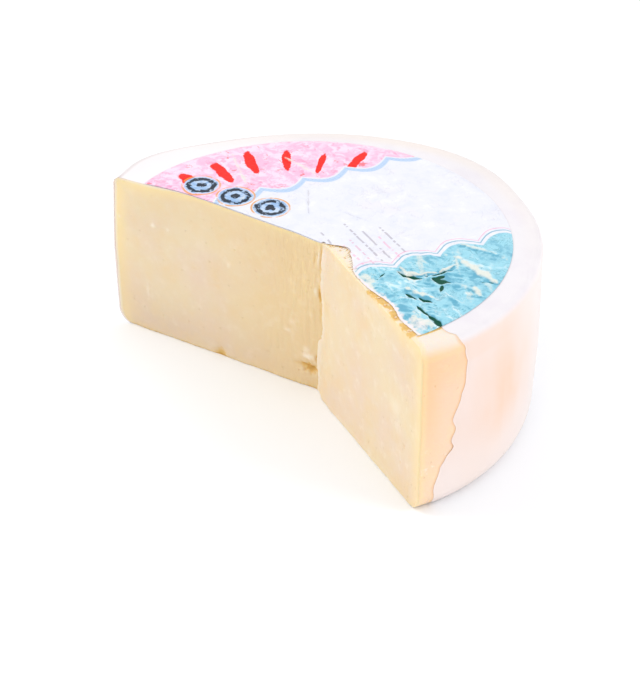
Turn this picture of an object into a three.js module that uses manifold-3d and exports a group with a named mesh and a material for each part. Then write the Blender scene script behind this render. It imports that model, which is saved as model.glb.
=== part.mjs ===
// A cut wheel of semi-hard sheep's-milk cheese, as it stands on a counter after a wide wedge has
// been taken out of it. It is one solid of paste and rind, a clear film shrunk over its top and
// rim, and a round paper label lying on the film.
//
// Millimetres, +Z up. The shapes are made round the wheel's own axis, which is where the maker's
// hoop was centred, and the finished group is then moved so that its origin is the middle of its
// base. The cut-out opens towards -Y and -X.

import * as THREE from 'three';
import { mergeVertices } from 'three/addons/utils/BufferGeometryUtils.js';
import Module from 'manifold-3d';

const wasm = await Module();
wasm.setup();

// ---------------------------------------------------------------- driving dimensions

const WHEEL_RADIUS = 127.3; // mean radius of the bare wheel
const WHEEL_HEIGHT = 103.2; // base to the top of the bare wheel
const BASE_SPREAD = 1.4; // how much wider the wheel has settled at its foot than at its top
const OVAL = { amount: 4.8, lobes: 2, heading: -10.6 }; // the wheel is slightly oval
const CORNERED = { amount: 3.4, lobes: 3, heading: 45 }; // and slightly three-cornered
const SLUMP = { x: 1.9, y: 1.2 }; // its top has slumped this far from over its base
const TOP_EDGE_RADIUS = 5;
const BASE_EDGE_RADIUS = 10;

const GAP = 0.3; // clear space between pieces that touch
const FILM_THICKNESS = 0.4;
const LABEL_THICKNESS = 0.3;
const LABEL_RADIUS = 111.5;
const LABEL_CENTRE = { x: 2.8, y: -3.0 };

// The two faces of the cut. Each stands square to its heading, `offset` from the wheel's axis at
// half height, and leans by `lean` millimetres for each millimetre of height.
const LEFT_CUT = { heading: 57.4, offset: 3.3, lean: -0.067 };
const RIGHT_CUT = { heading: 25.3, offset: 5.9, lean: 0.012 };

// The left-hand cut overran the inner corner, further low down than high up: height, overrun. The
// right-hand face bends back to meet the end of that cut over the length below.
const OVERRUN = [[-2, 5.4], [58, 5.4], [64, 1.5], [108, 1.3]];
const OVERRUN_BEND = 26;

// The film is peeled back from the right-hand cut. On the top its edge runs away from the cut in
// a straight line, and on the rim it is torn to the outline below: distance from the cut, height.
const PEEL_AT_CORNER = 8.5;
const PEEL_SLOPE = 0.11;
const PEEL_ON_RIM = [[9, -6], [10, 14], [15, 30], [21, 38], [21, 54], [28, 74], [28, 86], [23, 112]];
const FILM_FOOT = 0.6; // the film stops this far above the surface that the wheel stands on

// The label is torn along the right-hand cut, from the inner corner outwards: a bare margin,
// with deeper bites along it.
const TEAR_START = 8; // the tear reaches its full depth this far from the corner
const TEAR_MARGIN = 1.2;
const TEAR_BITES = [
  { along: 15, depth: 7.6, width: 13 },
  { along: 72, depth: 4.2, width: 15 },
  { along: 100, depth: 2.4, width: 10 },
];

const SEGMENTS_ROUND = 96;
const TEAR_STEP = 4;
const FILLET_STEPS = 5;
const REACH = 300; // larger than the wheel, for the tools that cut it

// ---------------------------------------------------------------- helpers

const radians = THREE.MathUtils.degToRad;

// Distance of the rim from the axis at an angle, as a share of the mean radius.
function rimShape(angle) {
  const swell = [OVAL, CORNERED].map(
    ({ amount, lobes, heading }) => amount * Math.cos(lobes * (angle - radians(heading))),
  );
  return 1 + (swell[0] + swell[1]) / WHEEL_RADIUS;
}

// Moves a turned shape's points in or out and aslant, so that its rim follows the wheel's outline.
function followRim(geometry) {
  const points = geometry.attributes.position;
  for (let i = 0; i < points.count; i++) {
    const x = points.getX(i);
    const y = points.getY(i);
    const z = points.getZ(i);
    const share = rimShape(Math.atan2(y, x));
    const rise = z / WHEEL_HEIGHT;
    points.setXYZ(i, x * share + SLUMP.x * rise, y * share + SLUMP.y * rise, z);
  }
  return geometry;
}

function toSolid(geometry) {
  const bare = geometry.clone();
  bare.deleteAttribute('normal');
  bare.deleteAttribute('uv');
  const merged = mergeVertices(bare, 1e-4);
  return new wasm.Manifold(new wasm.Mesh({
    numProp: 3,
    vertProperties: new Float32Array(merged.attributes.position.array),
    triVerts: new Uint32Array(merged.index.array),
  }));
}

function toGeometry(solid) {
  const mesh = solid.getMesh();
  const geometry = new THREE.BufferGeometry();
  geometry.setAttribute('position', new THREE.BufferAttribute(mesh.vertProperties, 3));
  geometry.setIndex(new THREE.BufferAttribute(mesh.triVerts, 1));
  geometry.computeVertexNormals();
  return geometry;
}

// Turns a profile of (radius, height) points about the wheel's axis, with +Z up.
function turn(profile) {
  const geometry = new THREE.LatheGeometry(profile, SEGMENTS_ROUND);
  geometry.rotateX(Math.PI / 2);
  return toSolid(followRim(geometry));
}

function prism(points, depth, matrix) {
  const shape = new THREE.Shape(points);
  const geometry = new THREE.ExtrudeGeometry(shape, { depth, bevelEnabled: false });
  return toSolid(geometry.applyMatrix4(matrix));
}

// A round corner of a profile, from one angle to another about its centre.
function roundCorner(centreRadius, centreHeight, radius, from, to) {
  const points = [];
  for (let step = 0; step <= FILLET_STEPS; step++) {
    const angle = radians(THREE.MathUtils.lerp(from, to, step / FILLET_STEPS));
    points.push(new THREE.Vector2(
      centreRadius + radius * Math.cos(angle),
      centreHeight + radius * Math.sin(angle),
    ));
  }
  return points;
}

// ---------------------------------------------------------------- the wheel's outline

// Rim of the wheel from low to high, at a distance outside the bare cheese.
function rimProfile(outside, lowestAngle) {
  const baseCentre = WHEEL_RADIUS + BASE_SPREAD - BASE_EDGE_RADIUS;
  const topCentre = WHEEL_RADIUS - TOP_EDGE_RADIUS;
  return [
    ...roundCorner(baseCentre, BASE_EDGE_RADIUS, BASE_EDGE_RADIUS + outside, lowestAngle, 0),
    ...roundCorner(topCentre, WHEEL_HEIGHT - TOP_EDGE_RADIUS, TOP_EDGE_RADIUS + outside, 0, 90),
  ];
}

function wholeWheel() {
  return turn([
    new THREE.Vector2(0, 0),
    ...rimProfile(0, -90),
    new THREE.Vector2(0, WHEEL_HEIGHT),
  ]);
}

function wholeFilm() {
  const outside = GAP + FILM_THICKNESS;
  const lowestAngle = -THREE.MathUtils.radToDeg(
    Math.asin((BASE_EDGE_RADIUS - FILM_FOOT) / (BASE_EDGE_RADIUS + outside)),
  );
  const inner = rimProfile(GAP, lowestAngle);
  const outer = rimProfile(outside, lowestAngle);
  return turn([
    new THREE.Vector2(0, WHEEL_HEIGHT + GAP),
    ...inner.reverse(),
    ...outer,
    new THREE.Vector2(0, WHEEL_HEIGHT + outside),
  ]);
}

function wholeLabel() {
  const disc = new THREE.Shape().absarc(0, 0, LABEL_RADIUS, 0, 2 * Math.PI);
  const geometry = new THREE.ExtrudeGeometry(disc, {
    depth: LABEL_THICKNESS,
    bevelEnabled: false,
    curveSegments: SEGMENTS_ROUND / 2,
  });
  const height = WHEEL_HEIGHT + GAP + FILM_THICKNESS + GAP;
  return toSolid(geometry.translate(LABEL_CENTRE.x, LABEL_CENTRE.y, height));
}

// ---------------------------------------------------------------- the cut

// Everything on the open side of one face of the cut.
function openSide({ heading, offset, lean }) {
  const angle = radians(heading);
  const square = new THREE.Vector3(Math.cos(angle), Math.sin(angle), -lean).normalize();
  const along = new THREE.Vector3(-Math.sin(angle), Math.cos(angle), 0);
  const up = new THREE.Vector3().crossVectors(square, along);
  const box = new THREE.BoxGeometry(REACH, 2 * REACH, 2 * REACH).translate(-REACH / 2, 0, 0);
  const place = new THREE.Matrix4().makeBasis(square, along, up);
  place.setPosition(offset * Math.cos(angle), offset * Math.sin(angle), WHEEL_HEIGHT / 2);
  return toSolid(box.applyMatrix4(place));
}

// Where the planes of the two faces of the cut meet, at a height.
function cornerAt(height) {
  const [a, b] = [LEFT_CUT, RIGHT_CUT].map(({ heading }) => radians(heading));
  const [left, right] = [LEFT_CUT, RIGHT_CUT].map(
    ({ offset, lean }) => offset + lean * (height - WHEEL_HEIGHT / 2),
  );
  const det = Math.sin(b - a);
  return new THREE.Vector3(
    (left * Math.sin(b) - right * Math.sin(a)) / det,
    (right * Math.cos(a) - left * Math.cos(b)) / det,
    height,
  );
}

function innerCorner() {
  return cornerAt(WHEEL_HEIGHT / 2).setZ(0);
}

const rightAngle = radians(RIGHT_CUT.heading);
const acrossRight = new THREE.Vector3(Math.cos(rightAngle), Math.sin(rightAngle), 0);
const alongRight = new THREE.Vector3(Math.sin(rightAngle), -Math.cos(rightAngle), 0);
const upright = new THREE.Vector3(0, 0, 1);

// What the overrun of the left-hand cut takes out of the right-hand face, one band of heights at a
// time. Each band reaches back into the cut-out, so that it meets the open space cleanly.
function overrunBands() {
  const leftAngle = radians(LEFT_CUT.heading);
  const onwards = new THREE.Vector3(Math.sin(leftAngle), -Math.cos(leftAngle), 0);
  const level = ([height, overrun]) => {
    const corner = cornerAt(height);
    return [
      corner.clone().addScaledVector(onwards, overrun),
      corner.clone().addScaledVector(alongRight, OVERRUN_BEND),
      corner.clone().addScaledVector(alongRight, OVERRUN_BEND).addScaledVector(acrossRight, -3),
      corner.clone().addScaledVector(onwards, -6),
    ].map((point) => point.toArray());
  };
  const bands = OVERRUN.slice(1).map(
    (upper, i) => wasm.Manifold.hull([...level(OVERRUN[i]), ...level(upper)]),
  );
  return wasm.Manifold.union(bands);
}

// Seen from above, with x along the right-hand cut from the inner corner and y across it.
function planFrame() {
  const frame = new THREE.Matrix4().makeBasis(alongRight, acrossRight, upright);
  return frame.setPosition(innerCorner());
}

// Seen along the right-hand cut, with x across it and y up.
function elevationFrame() {
  const frame = new THREE.Matrix4().makeBasis(acrossRight, upright, alongRight);
  return frame.setPosition(innerCorner());
}

// What the torn label lacks beside the right-hand cut.
function tornStrip() {
  const margin = (along) => TEAR_BITES.reduce(
    (sum, bite) => sum + bite.depth * Math.exp(-(((along - bite.along) / bite.width) ** 2)),
    TEAR_MARGIN,
  );
  const points = [new THREE.Vector2(0, -REACH), new THREE.Vector2(REACH, -REACH)];
  for (let along = WHEEL_RADIUS; along > 0; along -= TEAR_STEP) {
    const depth = margin(along) * THREE.MathUtils.smoothstep(along, 0, TEAR_START);
    points.push(new THREE.Vector2(along, depth));
  }
  return prism(points, REACH, planFrame());
}

// What the peeled film lacks beside the right-hand cut: a strip of the top and more of the rim.
function peeledStrip() {
  const edge = (along) => PEEL_AT_CORNER + PEEL_SLOPE * along;
  const rimStart = WHEEL_RADIUS - 18;
  const plan = [
    [0, -REACH], [REACH, -REACH], [REACH, REACH], [rimStart, REACH], [rimStart, edge(rimStart)],
    [PEEL_AT_CORNER, edge(PEEL_AT_CORNER)], [0, 0],
  ].map(([x, y]) => new THREE.Vector2(x, y));
  const rimEdge = new THREE.SplineCurve(PEEL_ON_RIM.map(([x, y]) => new THREE.Vector2(x, y)));
  const elevation = [
    new THREE.Vector2(-REACH, -6),
    ...rimEdge.getPoints(28),
    new THREE.Vector2(-REACH, 112),
  ];
  const elevationPlace = elevationFrame().multiply(new THREE.Matrix4().makeTranslation(0, 0, -40));
  return prism(plan, REACH, planFrame()).intersect(prism(elevation, REACH, elevationPlace));
}

// ---------------------------------------------------------------- the pieces

const wedge = openSide(LEFT_CUT).intersect(openSide(RIGHT_CUT)).add(overrunBands());

const materials = {
  cheese: new THREE.MeshStandardMaterial({ color: 0xf2dcb2, roughness: 0.5, metalness: 0 }),
  film: new THREE.MeshStandardMaterial({ color: 0xfbeee2, roughness: 0.18, metalness: 0 }),
  label: new THREE.MeshStandardMaterial({ color: 0xf4dff0, roughness: 0.42, metalness: 0 }),
};

const solids = {
  cheese: wholeWheel().subtract(wedge),
  film: wholeFilm().subtract(wedge).subtract(peeledStrip()),
  label: wholeLabel().subtract(wedge).subtract(tornStrip()),
};

const cutWheel = new THREE.Group();
for (const [name, solid] of Object.entries(solids)) {
  const mesh = new THREE.Mesh(toGeometry(solid), materials[name]);
  mesh.name = name;
  cutWheel.add(mesh);
}

// The origin is the middle of the base.
const extent = new THREE.Box3().setFromObject(cutWheel);
const middle = extent.getCenter(new THREE.Vector3());
cutWheel.position.set(-middle.x, -middle.y, -extent.min.z);

export default cutWheel;
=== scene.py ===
"""A cut wheel of kasseri: paste and rind, a clear film peeled back beside one cut, and a paper label.

Lengths are in metres, and in millimetres in the tables. The wheel's outline is worked out from a few
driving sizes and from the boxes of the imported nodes, and every piece is laid on that one outline.
"""

import math
import random
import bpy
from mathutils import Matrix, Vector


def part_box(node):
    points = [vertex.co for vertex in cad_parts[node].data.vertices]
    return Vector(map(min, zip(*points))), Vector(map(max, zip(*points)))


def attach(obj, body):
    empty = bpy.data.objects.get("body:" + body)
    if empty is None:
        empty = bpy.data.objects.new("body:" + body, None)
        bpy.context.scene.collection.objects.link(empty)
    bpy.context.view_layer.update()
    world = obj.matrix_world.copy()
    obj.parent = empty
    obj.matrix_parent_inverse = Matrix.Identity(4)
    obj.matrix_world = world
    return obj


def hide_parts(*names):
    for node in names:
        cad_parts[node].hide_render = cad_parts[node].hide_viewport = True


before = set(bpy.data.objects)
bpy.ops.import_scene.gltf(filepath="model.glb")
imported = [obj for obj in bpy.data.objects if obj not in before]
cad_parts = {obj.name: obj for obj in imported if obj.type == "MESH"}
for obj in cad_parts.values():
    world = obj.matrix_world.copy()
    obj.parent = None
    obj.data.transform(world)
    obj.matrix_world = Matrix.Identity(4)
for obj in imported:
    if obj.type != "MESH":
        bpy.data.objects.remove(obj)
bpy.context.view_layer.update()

from types import SimpleNamespace

import bmesh
import bpy
from bpy.props import FloatProperty, FloatVectorProperty, PointerProperty
from mathutils import Matrix, Vector, noise

bl_info = {
    "name": "Cut cheese wheel",
    "version": (1, 0, 0),
    "blender": (4, 5, 0),
    "location": "View3D > Sidebar > Cheese",
    "description": "Builds a cut wheel of cheese with its film, label and crumbs",
    "category": "Add Mesh",
}

MM = 0.001


# ---------- what a user can change

def length(name, description, millimetres):
    return FloatProperty(
        name=name, description=description, default=millimetres * MM, unit="LENGTH", precision=5
    )


def angle(name, description, degrees):
    return FloatProperty(name=name, description=description, default=math.radians(degrees), subtype="ANGLE")


def share(name, description, default):
    return FloatProperty(name=name, description=description, default=default, min=-10.0, max=10.0)


def colour(name, description, red, green, blue):
    """A colour property. It is given as it looks on a screen, from 0 to 255, and kept as linear light."""
    def linear(value):
        value /= 255
        return value / 12.92 if value <= 0.04045 else ((value + 0.055) / 1.055) ** 2.4
    return FloatVectorProperty(
        name=name, description=description, subtype="COLOR", size=3, min=0.0, max=1.0,
        default=(linear(red), linear(green), linear(blue)),
    )


class WheelShape(bpy.types.PropertyGroup):
    """The outline of the bare wheel and the two faces of its cut."""

    radius: length("Mean radius", "Mean radius of the bare wheel at its top", 127.3)
    height: length("Height", "Base to top of the bare wheel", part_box("cheese")[1].z / MM)
    base_spread: length("Base spread", "How much wider the foot is than the top", 1.4)
    sag: length("Sag", "How far the top falls from its middle to its rim", 0.8)
    oval: length("Oval", "How far the rim swells along its long axis", 4.8)
    oval_heading: angle("Oval heading", "Direction of the long axis", -10.6)
    cornered: length("Cornered", "How far the rim swells in three blunt corners", 3.4)
    cornered_heading: angle("Corner heading", "Direction of one blunt corner", 45.0)
    slump_x: length("Slump along X", "How far the top has slumped along X from over the base", 1.9)
    slump_y: length("Slump along Y", "How far the top has slumped along Y from over the base", 1.2)
    heave: length("Heave", "How far the top behind the left cut has moved back", 3.6)
    left_heading: angle("Left cut heading", "Direction square to the left-hand face", 57.4)
    left_offset: length("Left cut offset", "Left-hand face to the axis at half height", 3.3)
    left_lean: share("Left cut lean", "Lean of the left-hand face for each unit of height", -0.067)
    right_heading: angle("Right cut heading", "Direction square to the right-hand face", 25.3)
    right_offset: length("Right cut offset", "Right-hand face to the axis at half height", 5.9)
    right_lean: share("Right cut lean", "Lean of the right-hand face for each unit of height", 0.012)
    top_edge: length("Top edge", "Radius of the rim's top edge", 5.0)
    top_edge_at_cut: length("Top edge at the cut", "Radius of that edge beside the right cut", 8.0)
    base_edge: length("Base edge", "Radius of the rim's lower edge", 10.0)


class PasteLook(bpy.types.PropertyGroup):
    """Colours and relief of the cut paste and the rind."""

    paste: colour("Paste", "Cut paste away from the rind", 232, 212, 178)
    rosy: colour("Rosy paste", "Cut paste in the broad clouds", 230, 206, 181)
    deep: colour("Deep paste", "Yellower paste near the inner corner", 232, 203, 153)
    shade: colour("Low paste", "Paste low on the left-hand face", 208, 184, 158)
    pale: colour("Pale flecks", "Torn and flaked paste", 246, 232, 213)
    band: colour("Band", "Yellow band just under the rind", 247, 221, 163)
    rind_top: colour("Top rind", "Bare rind on the top", 235, 224, 211)
    rind_side: colour("Side rind", "Bare rind on the rim", 244, 200, 157)
    rind_low: colour("Low rind", "Bare rind low on the rim", 243, 214, 184)
    rind_far: colour("Far rind", "Bare rind on the rim away from the cut", 246, 209, 188)
    rind_shaded: colour("Shaded rind", "Bare rind beside the film's torn edge", 240, 190, 142)
    golden: colour("Golden", "Golden edges of cracks and tears", 226, 180, 86)
    crack: colour("Cracks", "Small cracks in the bare rind on top", 190, 140, 76)
    # brown of pits and torn edges, also painted shade in dents, in the inner corner, along the base and
    # beside the label's edges
    stain: colour("Stain", "Brown of pits and torn edges", 196, 146, 66)
    band_depth: length("Band depth", "How far the yellow band reaches into the paste", 11.0)
    broad_relief: length("Broad relief", "Height of the slow waves left by the knife", 0.6)
    stroke_relief: length("Stroke relief", "Height of the knife's fine upright strokes", 0.10)
    eye_depth: length("Eye depth", "Depth of the small closed eyes", 0.35)
    eye_spacing: length("Eye spacing", "Distance between the small closed eyes", 14.0)


class FilmLook(bpy.types.PropertyGroup):
    """The film shrunk over the top and the rim."""

    gap: length("Gap", "Clear space between the rind and the film", 0.20)
    thickness: length("Thickness", "Thickness of the film", 0.12)
    lift: length("Lift", "How far the torn edge stands off the rind", 0.05)
    fin: length("Fin", "How far the film stands past the left-hand cut", 0.6)
    foot: length("Foot", "Height at which the film stops under the lower edge", 0.6)
    peel_at_corner: length("Peel at the corner", "Cut to film edge at the inner corner", 8.5)
    peel_slope: share("Peel slope", "How fast that edge runs away from the cut", 0.11)
    cling: colour("Clinging film", "Film where it clings to the rind", 252, 230, 217)
    milky: colour("Milky film", "Film where it stands off the rind", 250, 233, 227)
    top: colour("Film on top", "Film over the top", 241, 238, 243)
    top_back: colour("Film on top at the back", "Film over the top behind the left cut", 250, 245, 248)
    top_shade: colour("Shaded film on top", "Faint clouds of the film over the top", 234, 229, 238)
    brim: colour("Brim", "Film along the top's outer edge at the back", 244, 233, 224)
    # painted light: the film is whitened on the right-hand side of the rim and low down
    far: colour("Far film", "Film on the rim away from the right cut", 255, 244, 240)
    warm: colour("Warm film", "Soft apricot patch on the rim", 252, 216, 190)
    edge: colour("Film edge", "The film's torn edge and the fin past the left-hand cut", 244, 226, 220)
    # painted shade: a thin darker line along the rim's top edge at the back, where the film turns away
    line: colour("Film crease", "Thin crease along the rim's top edge at the back", 196, 176, 172)


class LabelLook(bpy.types.PropertyGroup):
    """The round paper label and its plain fields of colour."""

    radius: length("Radius", "Radius of the label", 111.5)
    centre_x: length("Centre X", "Label's centre from the wheel's axis along X", 2.8)
    centre_y: length("Centre Y", "Label's centre from the wheel's axis along Y", -1.8)
    thickness: length("Thickness", "Thickness of the paper", 0.15)
    crumple: length("Crumple", "Height of the crumpled folds beside the right-hand cut", 1.7)
    droop: length("Droop", "How far the paper drops past the film's torn edge on to the bare rind", 0.38)
    margin: length("Torn margin", "Bare strip between the cut and the torn edge", 1.2)
    turn: angle("Turn", "How far the fields of colour are turned", 27.0)
    paper: colour("Paper", "Bare paper", 230, 231, 241)
    paper_lit: colour("Lit paper", "Bare paper where it bulges", 240, 241, 246)
    paper_warm: colour("Warm paper", "Pinkish clouds of the bare paper", 236, 229, 236)
    paper_shade: colour("Shaded paper", "Faint wrinkles of the bare paper", 219, 223, 238)
    torn: colour("Torn paper", "The torn edge of the paper", 238, 229, 227)
    # print rubbed off, also a painted highlight on the crests of the folds
    worn: colour("Worn crests", "Print rubbed off the crests of the folds", 228, 229, 219)
    rose: colour("Rose", "Field at the back", 244, 184, 216)
    rose_pale: colour("Pale rose", "Pale crackle of the rose field", 248, 218, 238)
    rose_deep: colour("Deep rose", "Deep crackle of the rose field", 240, 134, 178)
    red: colour("Red", "Leaves on the rose field", 238, 40, 32)
    aqua: colour("Aqua", "Field at the front", 150, 212, 230)
    aqua_pale: colour("Pale aqua", "Lit facets of the aqua field", 210, 239, 249)
    # painted shade in the aqua field's fine creases
    aqua_dark: colour("Dark aqua", "Fine creases of the aqua field", 40, 130, 150)
    aqua_deep: colour("Deep aqua", "Shaded facets of the aqua field", 90, 168, 196)
    # painted shade in the deep folds of the aqua field
    green: colour("Green", "Deep folds in the aqua field", 0, 76, 58)
    sky: colour("Sky", "Printed beads beside the left-hand cut", 138, 178, 224)
    sky_pale: colour("Pale sky", "Pale crackle of the beads and the ribbon", 194, 214, 240)
    night: colour("Night", "Dark rings of the beads", 20, 24, 36)
    amber: colour("Amber", "Thin rings round the beads", 226, 150, 62)
    # ink of the rows of dashes, also painted shade in the valleys of the folds and along faint wrinkles
    ink_and_crease_shade: colour("Ink", "Rows of plain dashes", 112, 90, 112)


class StageLook(bpy.types.PropertyGroup):
    """Floor, lights and camera."""

    floor: colour("Floor", "Plain pale floor", 248, 251, 255)
    world_light: share("World light", "Strength of the light from all round", 0.90)
    key_light: FloatProperty(name="Key light", description="Power of the large soft light", default=6.5)
    fill_light: FloatProperty(name="Fill light", description="Power of the other soft light", default=6.0)
    distance: length("Distance", "Camera to the point that it looks at", 1431.0)
    elevation: angle("Elevation", "How far above the horizon the camera stands", 33.23)
    azimuth: angle("Azimuth", "How far round the object the camera stands", 0.41)
    roll: angle("Roll", "How far the camera is tipped to one side", 0.19)
    lens: FloatProperty(name="Lens", description="Focal length in millimetres", default=135.45)


# ---------- small helpers

def clamp(value, low=0.0, high=1.0):
    return max(low, min(high, value))


def smooth(low, high, value):
    """0 below low, 1 above high, and a smooth step between them."""
    t = clamp((value - low) / (high - low))
    return t * t * (3 - 2 * t)


def bump(value, centre, width):
    return math.exp(-(((value - centre) / width) ** 2))


def rough(x, y, size_x, size_y=None, seed=0.0):
    """Smooth noise from about -1 to 1 with features of the given sizes."""
    return noise.noise(Vector((x / size_x, y / (size_y or size_x), seed)))


def crowded(t, k):
    """Moves evenly spaced values of t towards both ends, where the steps shrink to 1 - k."""
    return t - k * math.sin(math.tau * t) / math.tau


def follow(points, value):
    """A smooth line through points given in millimetres, read at a length in metres."""
    for (x0, y0), (x1, y1) in zip(points, points[1:]):
        if value / MM <= x1:
            return MM * (y0 + (y1 - y0) * smooth(x0, x1, value / MM))
    return MM * points[-1][1]


def towards(heading):
    """The level direction of a heading."""
    return Vector((math.cos(heading), math.sin(heading)))


def to_object(name, mesh_maker, material):
    """Makes a mesh object from a bmesh and gives it its material."""
    mesh = bpy.data.meshes.new(name)
    mesh_maker.to_mesh(mesh)
    mesh_maker.free()
    piece = bpy.data.objects.new(name, mesh)
    bpy.context.scene.collection.objects.link(piece)
    mesh.materials.append(material)
    return piece


def soften(bm, sharp_degrees):
    """Shades the faces smooth, but for the edges that turn by more than an angle."""
    for face in bm.faces:
        face.smooth = True
    for edge in bm.edges:
        if edge.is_manifold:
            edge.smooth = edge.calc_face_angle(0.0) < math.radians(sharp_degrees)


def grid(bm, columns, rows):
    """A flat grid whose vertices run from 0 to 1 along X and Y."""
    bmesh.ops.create_grid(bm, x_segments=columns, y_segments=rows, size=0.5)
    bmesh.ops.translate(bm, vec=(0.5, 0.5, 0.0), verts=bm.verts)


def add_layers(bm, names):
    """Gives each vertex a number under each name, for the piece's material to read."""
    return {name: bm.verts.layers.float.new(name) for name in names}


def mark(vert, layers, **numbers):
    """Keeps numbers with a vertex, each in the layer of its name."""
    for name, number in numbers.items():
        vert[layers[name]] = number


def give_thickness(bm, thickness, level):
    """Turns a sheet so that what lies above a level faces down, and adds its outer wall above that."""
    bmesh.ops.recalc_face_normals(bm, faces=bm.faces)
    if sum(face.normal.z for face in bm.faces if face.calc_center_median().z > level) > 0:
        bmesh.ops.reverse_faces(bm, faces=bm.faces)
    bmesh.ops.solidify(bm, geom=bm.faces[:], thickness=thickness)


# ---------- the wheel's outline

FILM_OUTSIDE = 0.7 * MM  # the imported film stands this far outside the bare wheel
OVERRUN_BEND = ((0, 5.0), (45, 4.6), (75, 1.3), (104, 1.3))  # height, and how far the left cut overran
OVERRUN = (  # the same in detail: the corner is ragged
    (0, 5.6), (9, 5.5), (14, 4.9), (19, 3.7), (27, 3.2), (35, 2.9), (38.5, 4.8), (45, 5.2), (51, 4.0),
    (58, 3.8), (64, 3.0), (68, 1.9), (76, 0.9), (85, 0.5), (95, 0.4), (104, -0.4),
)
RIM_SWELLS = (  # heading and width in degrees, height where it starts and where it is full, swell
    (50.0, 22.0, 0, 60, 2.4), (95.0, 26.0, 0, 60, 2.4), (134.0, 12.0, 40, 90, 3.8),
    (147.4, 6.5, 45, 104, -3.6), (-5.0, 35.0, 50, 5, -1.8), (27.0, 12.0, 40, 95, -1.5),
)
HEAVE_WAY = (0.33, 1.0, 0.22)  # the way that the heaved part of the top has gone


class Wheel:
    """Where the wheel's rim, its inner corner and the two faces of its cut lie."""

    def __init__(self, shape):
        self.shape = shape
        self.right = shape.right_heading - math.pi / 2
        self.left = shape.left_heading + math.pi / 2
        self.span = self.left - self.right
        self.faces = {"right": (self.right, shape.right_heading), "left": (self.left, shape.left_heading)}
        outline = [
            towards(heading) * (self.radius_at(height) + FILM_OUTSIDE) * self.rim_share(heading)
            + self.slump(height)
            for heading in (math.radians(step / 4) for step in range(1440))
            for height in (shape.base_edge, shape.height - shape.top_edge)
        ]
        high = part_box("film")[1]
        self.axis = Vector((high.x - max(p.x for p in outline), high.y - max(p.y for p in outline)))
        self.middle = self.corner(shape.height / 2) + self.axis
        self.top_corner = self.corner(shape.height) + self.axis
        self.along = towards(self.right)
        self.across = Vector((-self.along.y, self.along.x))

    def rim_share(self, heading):
        s = self.shape
        swell = s.oval * math.cos(2 * (heading - s.oval_heading))
        swell += s.cornered * math.cos(3 * (heading - s.cornered_heading))
        return 1 + swell / s.radius

    def radius_at(self, height):
        s = self.shape
        low, high = s.base_edge, s.height - s.top_edge
        return s.radius + s.base_spread * (1 - clamp((height - low) / (high - low)))

    def slump(self, height):
        """How far the rim has moved sideways at a height."""
        return Vector((self.shape.slump_x, self.shape.slump_y)) * clamp(height / self.shape.height)

    def corner(self, height):
        """Where the planes of the two faces meet at a height, from the wheel's axis."""
        s = self.shape
        rise = height - s.height / 2
        left = s.left_offset + s.left_lean * rise
        right = s.right_offset + s.right_lean * rise
        a, b = s.left_heading, s.right_heading
        det = math.sin(b - a)
        return Vector((
            (left * math.sin(b) - right * math.sin(a)) / det,
            (right * math.cos(a) - left * math.cos(b)) / det,
        ))

    def ray(self, heading, height):
        """Length of the level line from the inner corner to the rim."""
        start = self.corner(height) - self.slump(height)
        direction = towards(heading)
        ahead = start.dot(direction)
        reach = self.radius_at(height)
        for _ in range(3):
            run = math.sqrt(reach ** 2 - start.length_squared + ahead ** 2) - ahead
            tip = start + direction * run
            reach = self.radius_at(height) * self.rim_share(math.atan2(tip.y, tip.x))
        for at, width, start_height, full_height, swell in RIM_SWELLS:
            rise = smooth(start_height, full_height, height / MM)
            run += swell * MM * rise * bump(math.degrees(heading), at, width)
        return run

    def place(self, heading, depth, height):
        """A point on a level line: depth runs from 0 at the inner corner to the mean radius at the rim."""
        run = depth / self.shape.radius * self.ray(heading, height)
        place = self.corner(height) + self.axis + towards(heading) * run + self.overrun(run, height)
        return Vector((place.x, place.y, height - self.sag(depth, height))) + self.heave(place, height)

    def heave(self, place, height):
        """The top behind the left-hand cut has moved back and up a little."""
        offset = place - self.axis - self.corner(height)
        run = offset.x * math.cos(self.left) + offset.y * math.sin(self.left)
        inward = offset.x * math.sin(self.left) - offset.y * math.cos(self.left)
        part = smooth(0.0, 22 * MM, run) * (1 - smooth(8 * MM, 56 * MM, inward))
        part *= (0.35 + 0.65 * bump(run, 88 * MM, 42 * MM)) * (1 - 0.5 * smooth(95 * MM, 135 * MM, run))
        part *= smooth(0.3, 1.0, height / self.shape.height)
        return Vector(HEAVE_WAY) * self.shape.heave * part

    def overrun(self, run, height):
        """The left-hand cut ran on past the corner, and the right-hand face bends back to meet its end."""
        onwards = -towards(self.left)
        slow = follow(OVERRUN_BEND, height) * math.exp(-((run / (13 * MM)) ** 2))
        quick = (follow(OVERRUN, height) - follow(OVERRUN_BEND, height)) * math.exp(-((run / (3 * MM)) ** 2))
        return onwards * (slow + quick)

    def sag(self, depth, height):
        s = self.shape
        return s.sag * (depth / s.radius) ** 2 * smooth(s.height / 2, s.height, height)

    def top_edge(self, heading):
        s = self.shape
        return s.top_edge + (s.top_edge_at_cut - s.top_edge) * bump(heading, self.right, math.radians(9))

    def round_off(self, depth, height, heading):
        """Rounds the rim's two edges of a plain section."""
        s = self.shape
        for radius, level, sign in ((self.top_edge(heading), s.height, 1), (s.base_edge, 0.0, -1)):
            out = (depth - (s.radius - radius)) / radius
            up = sign * (height - (level - sign * radius)) / radius
            if out > 0 and up > 0:
                depth = s.radius - radius + radius * out * math.sqrt(1 - up * up / 2)
                height = level - sign * radius + sign * radius * up * math.sqrt(1 - out * out / 2)
                return depth, height
        return depth, height

    def flat(self, point):
        """Along the right-hand cut from the top of the inner corner, and across it into the cheese."""
        offset = point.to_2d() - self.top_corner
        return offset.dot(self.along), offset.dot(self.across)


# ---------- the torn edges

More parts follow.
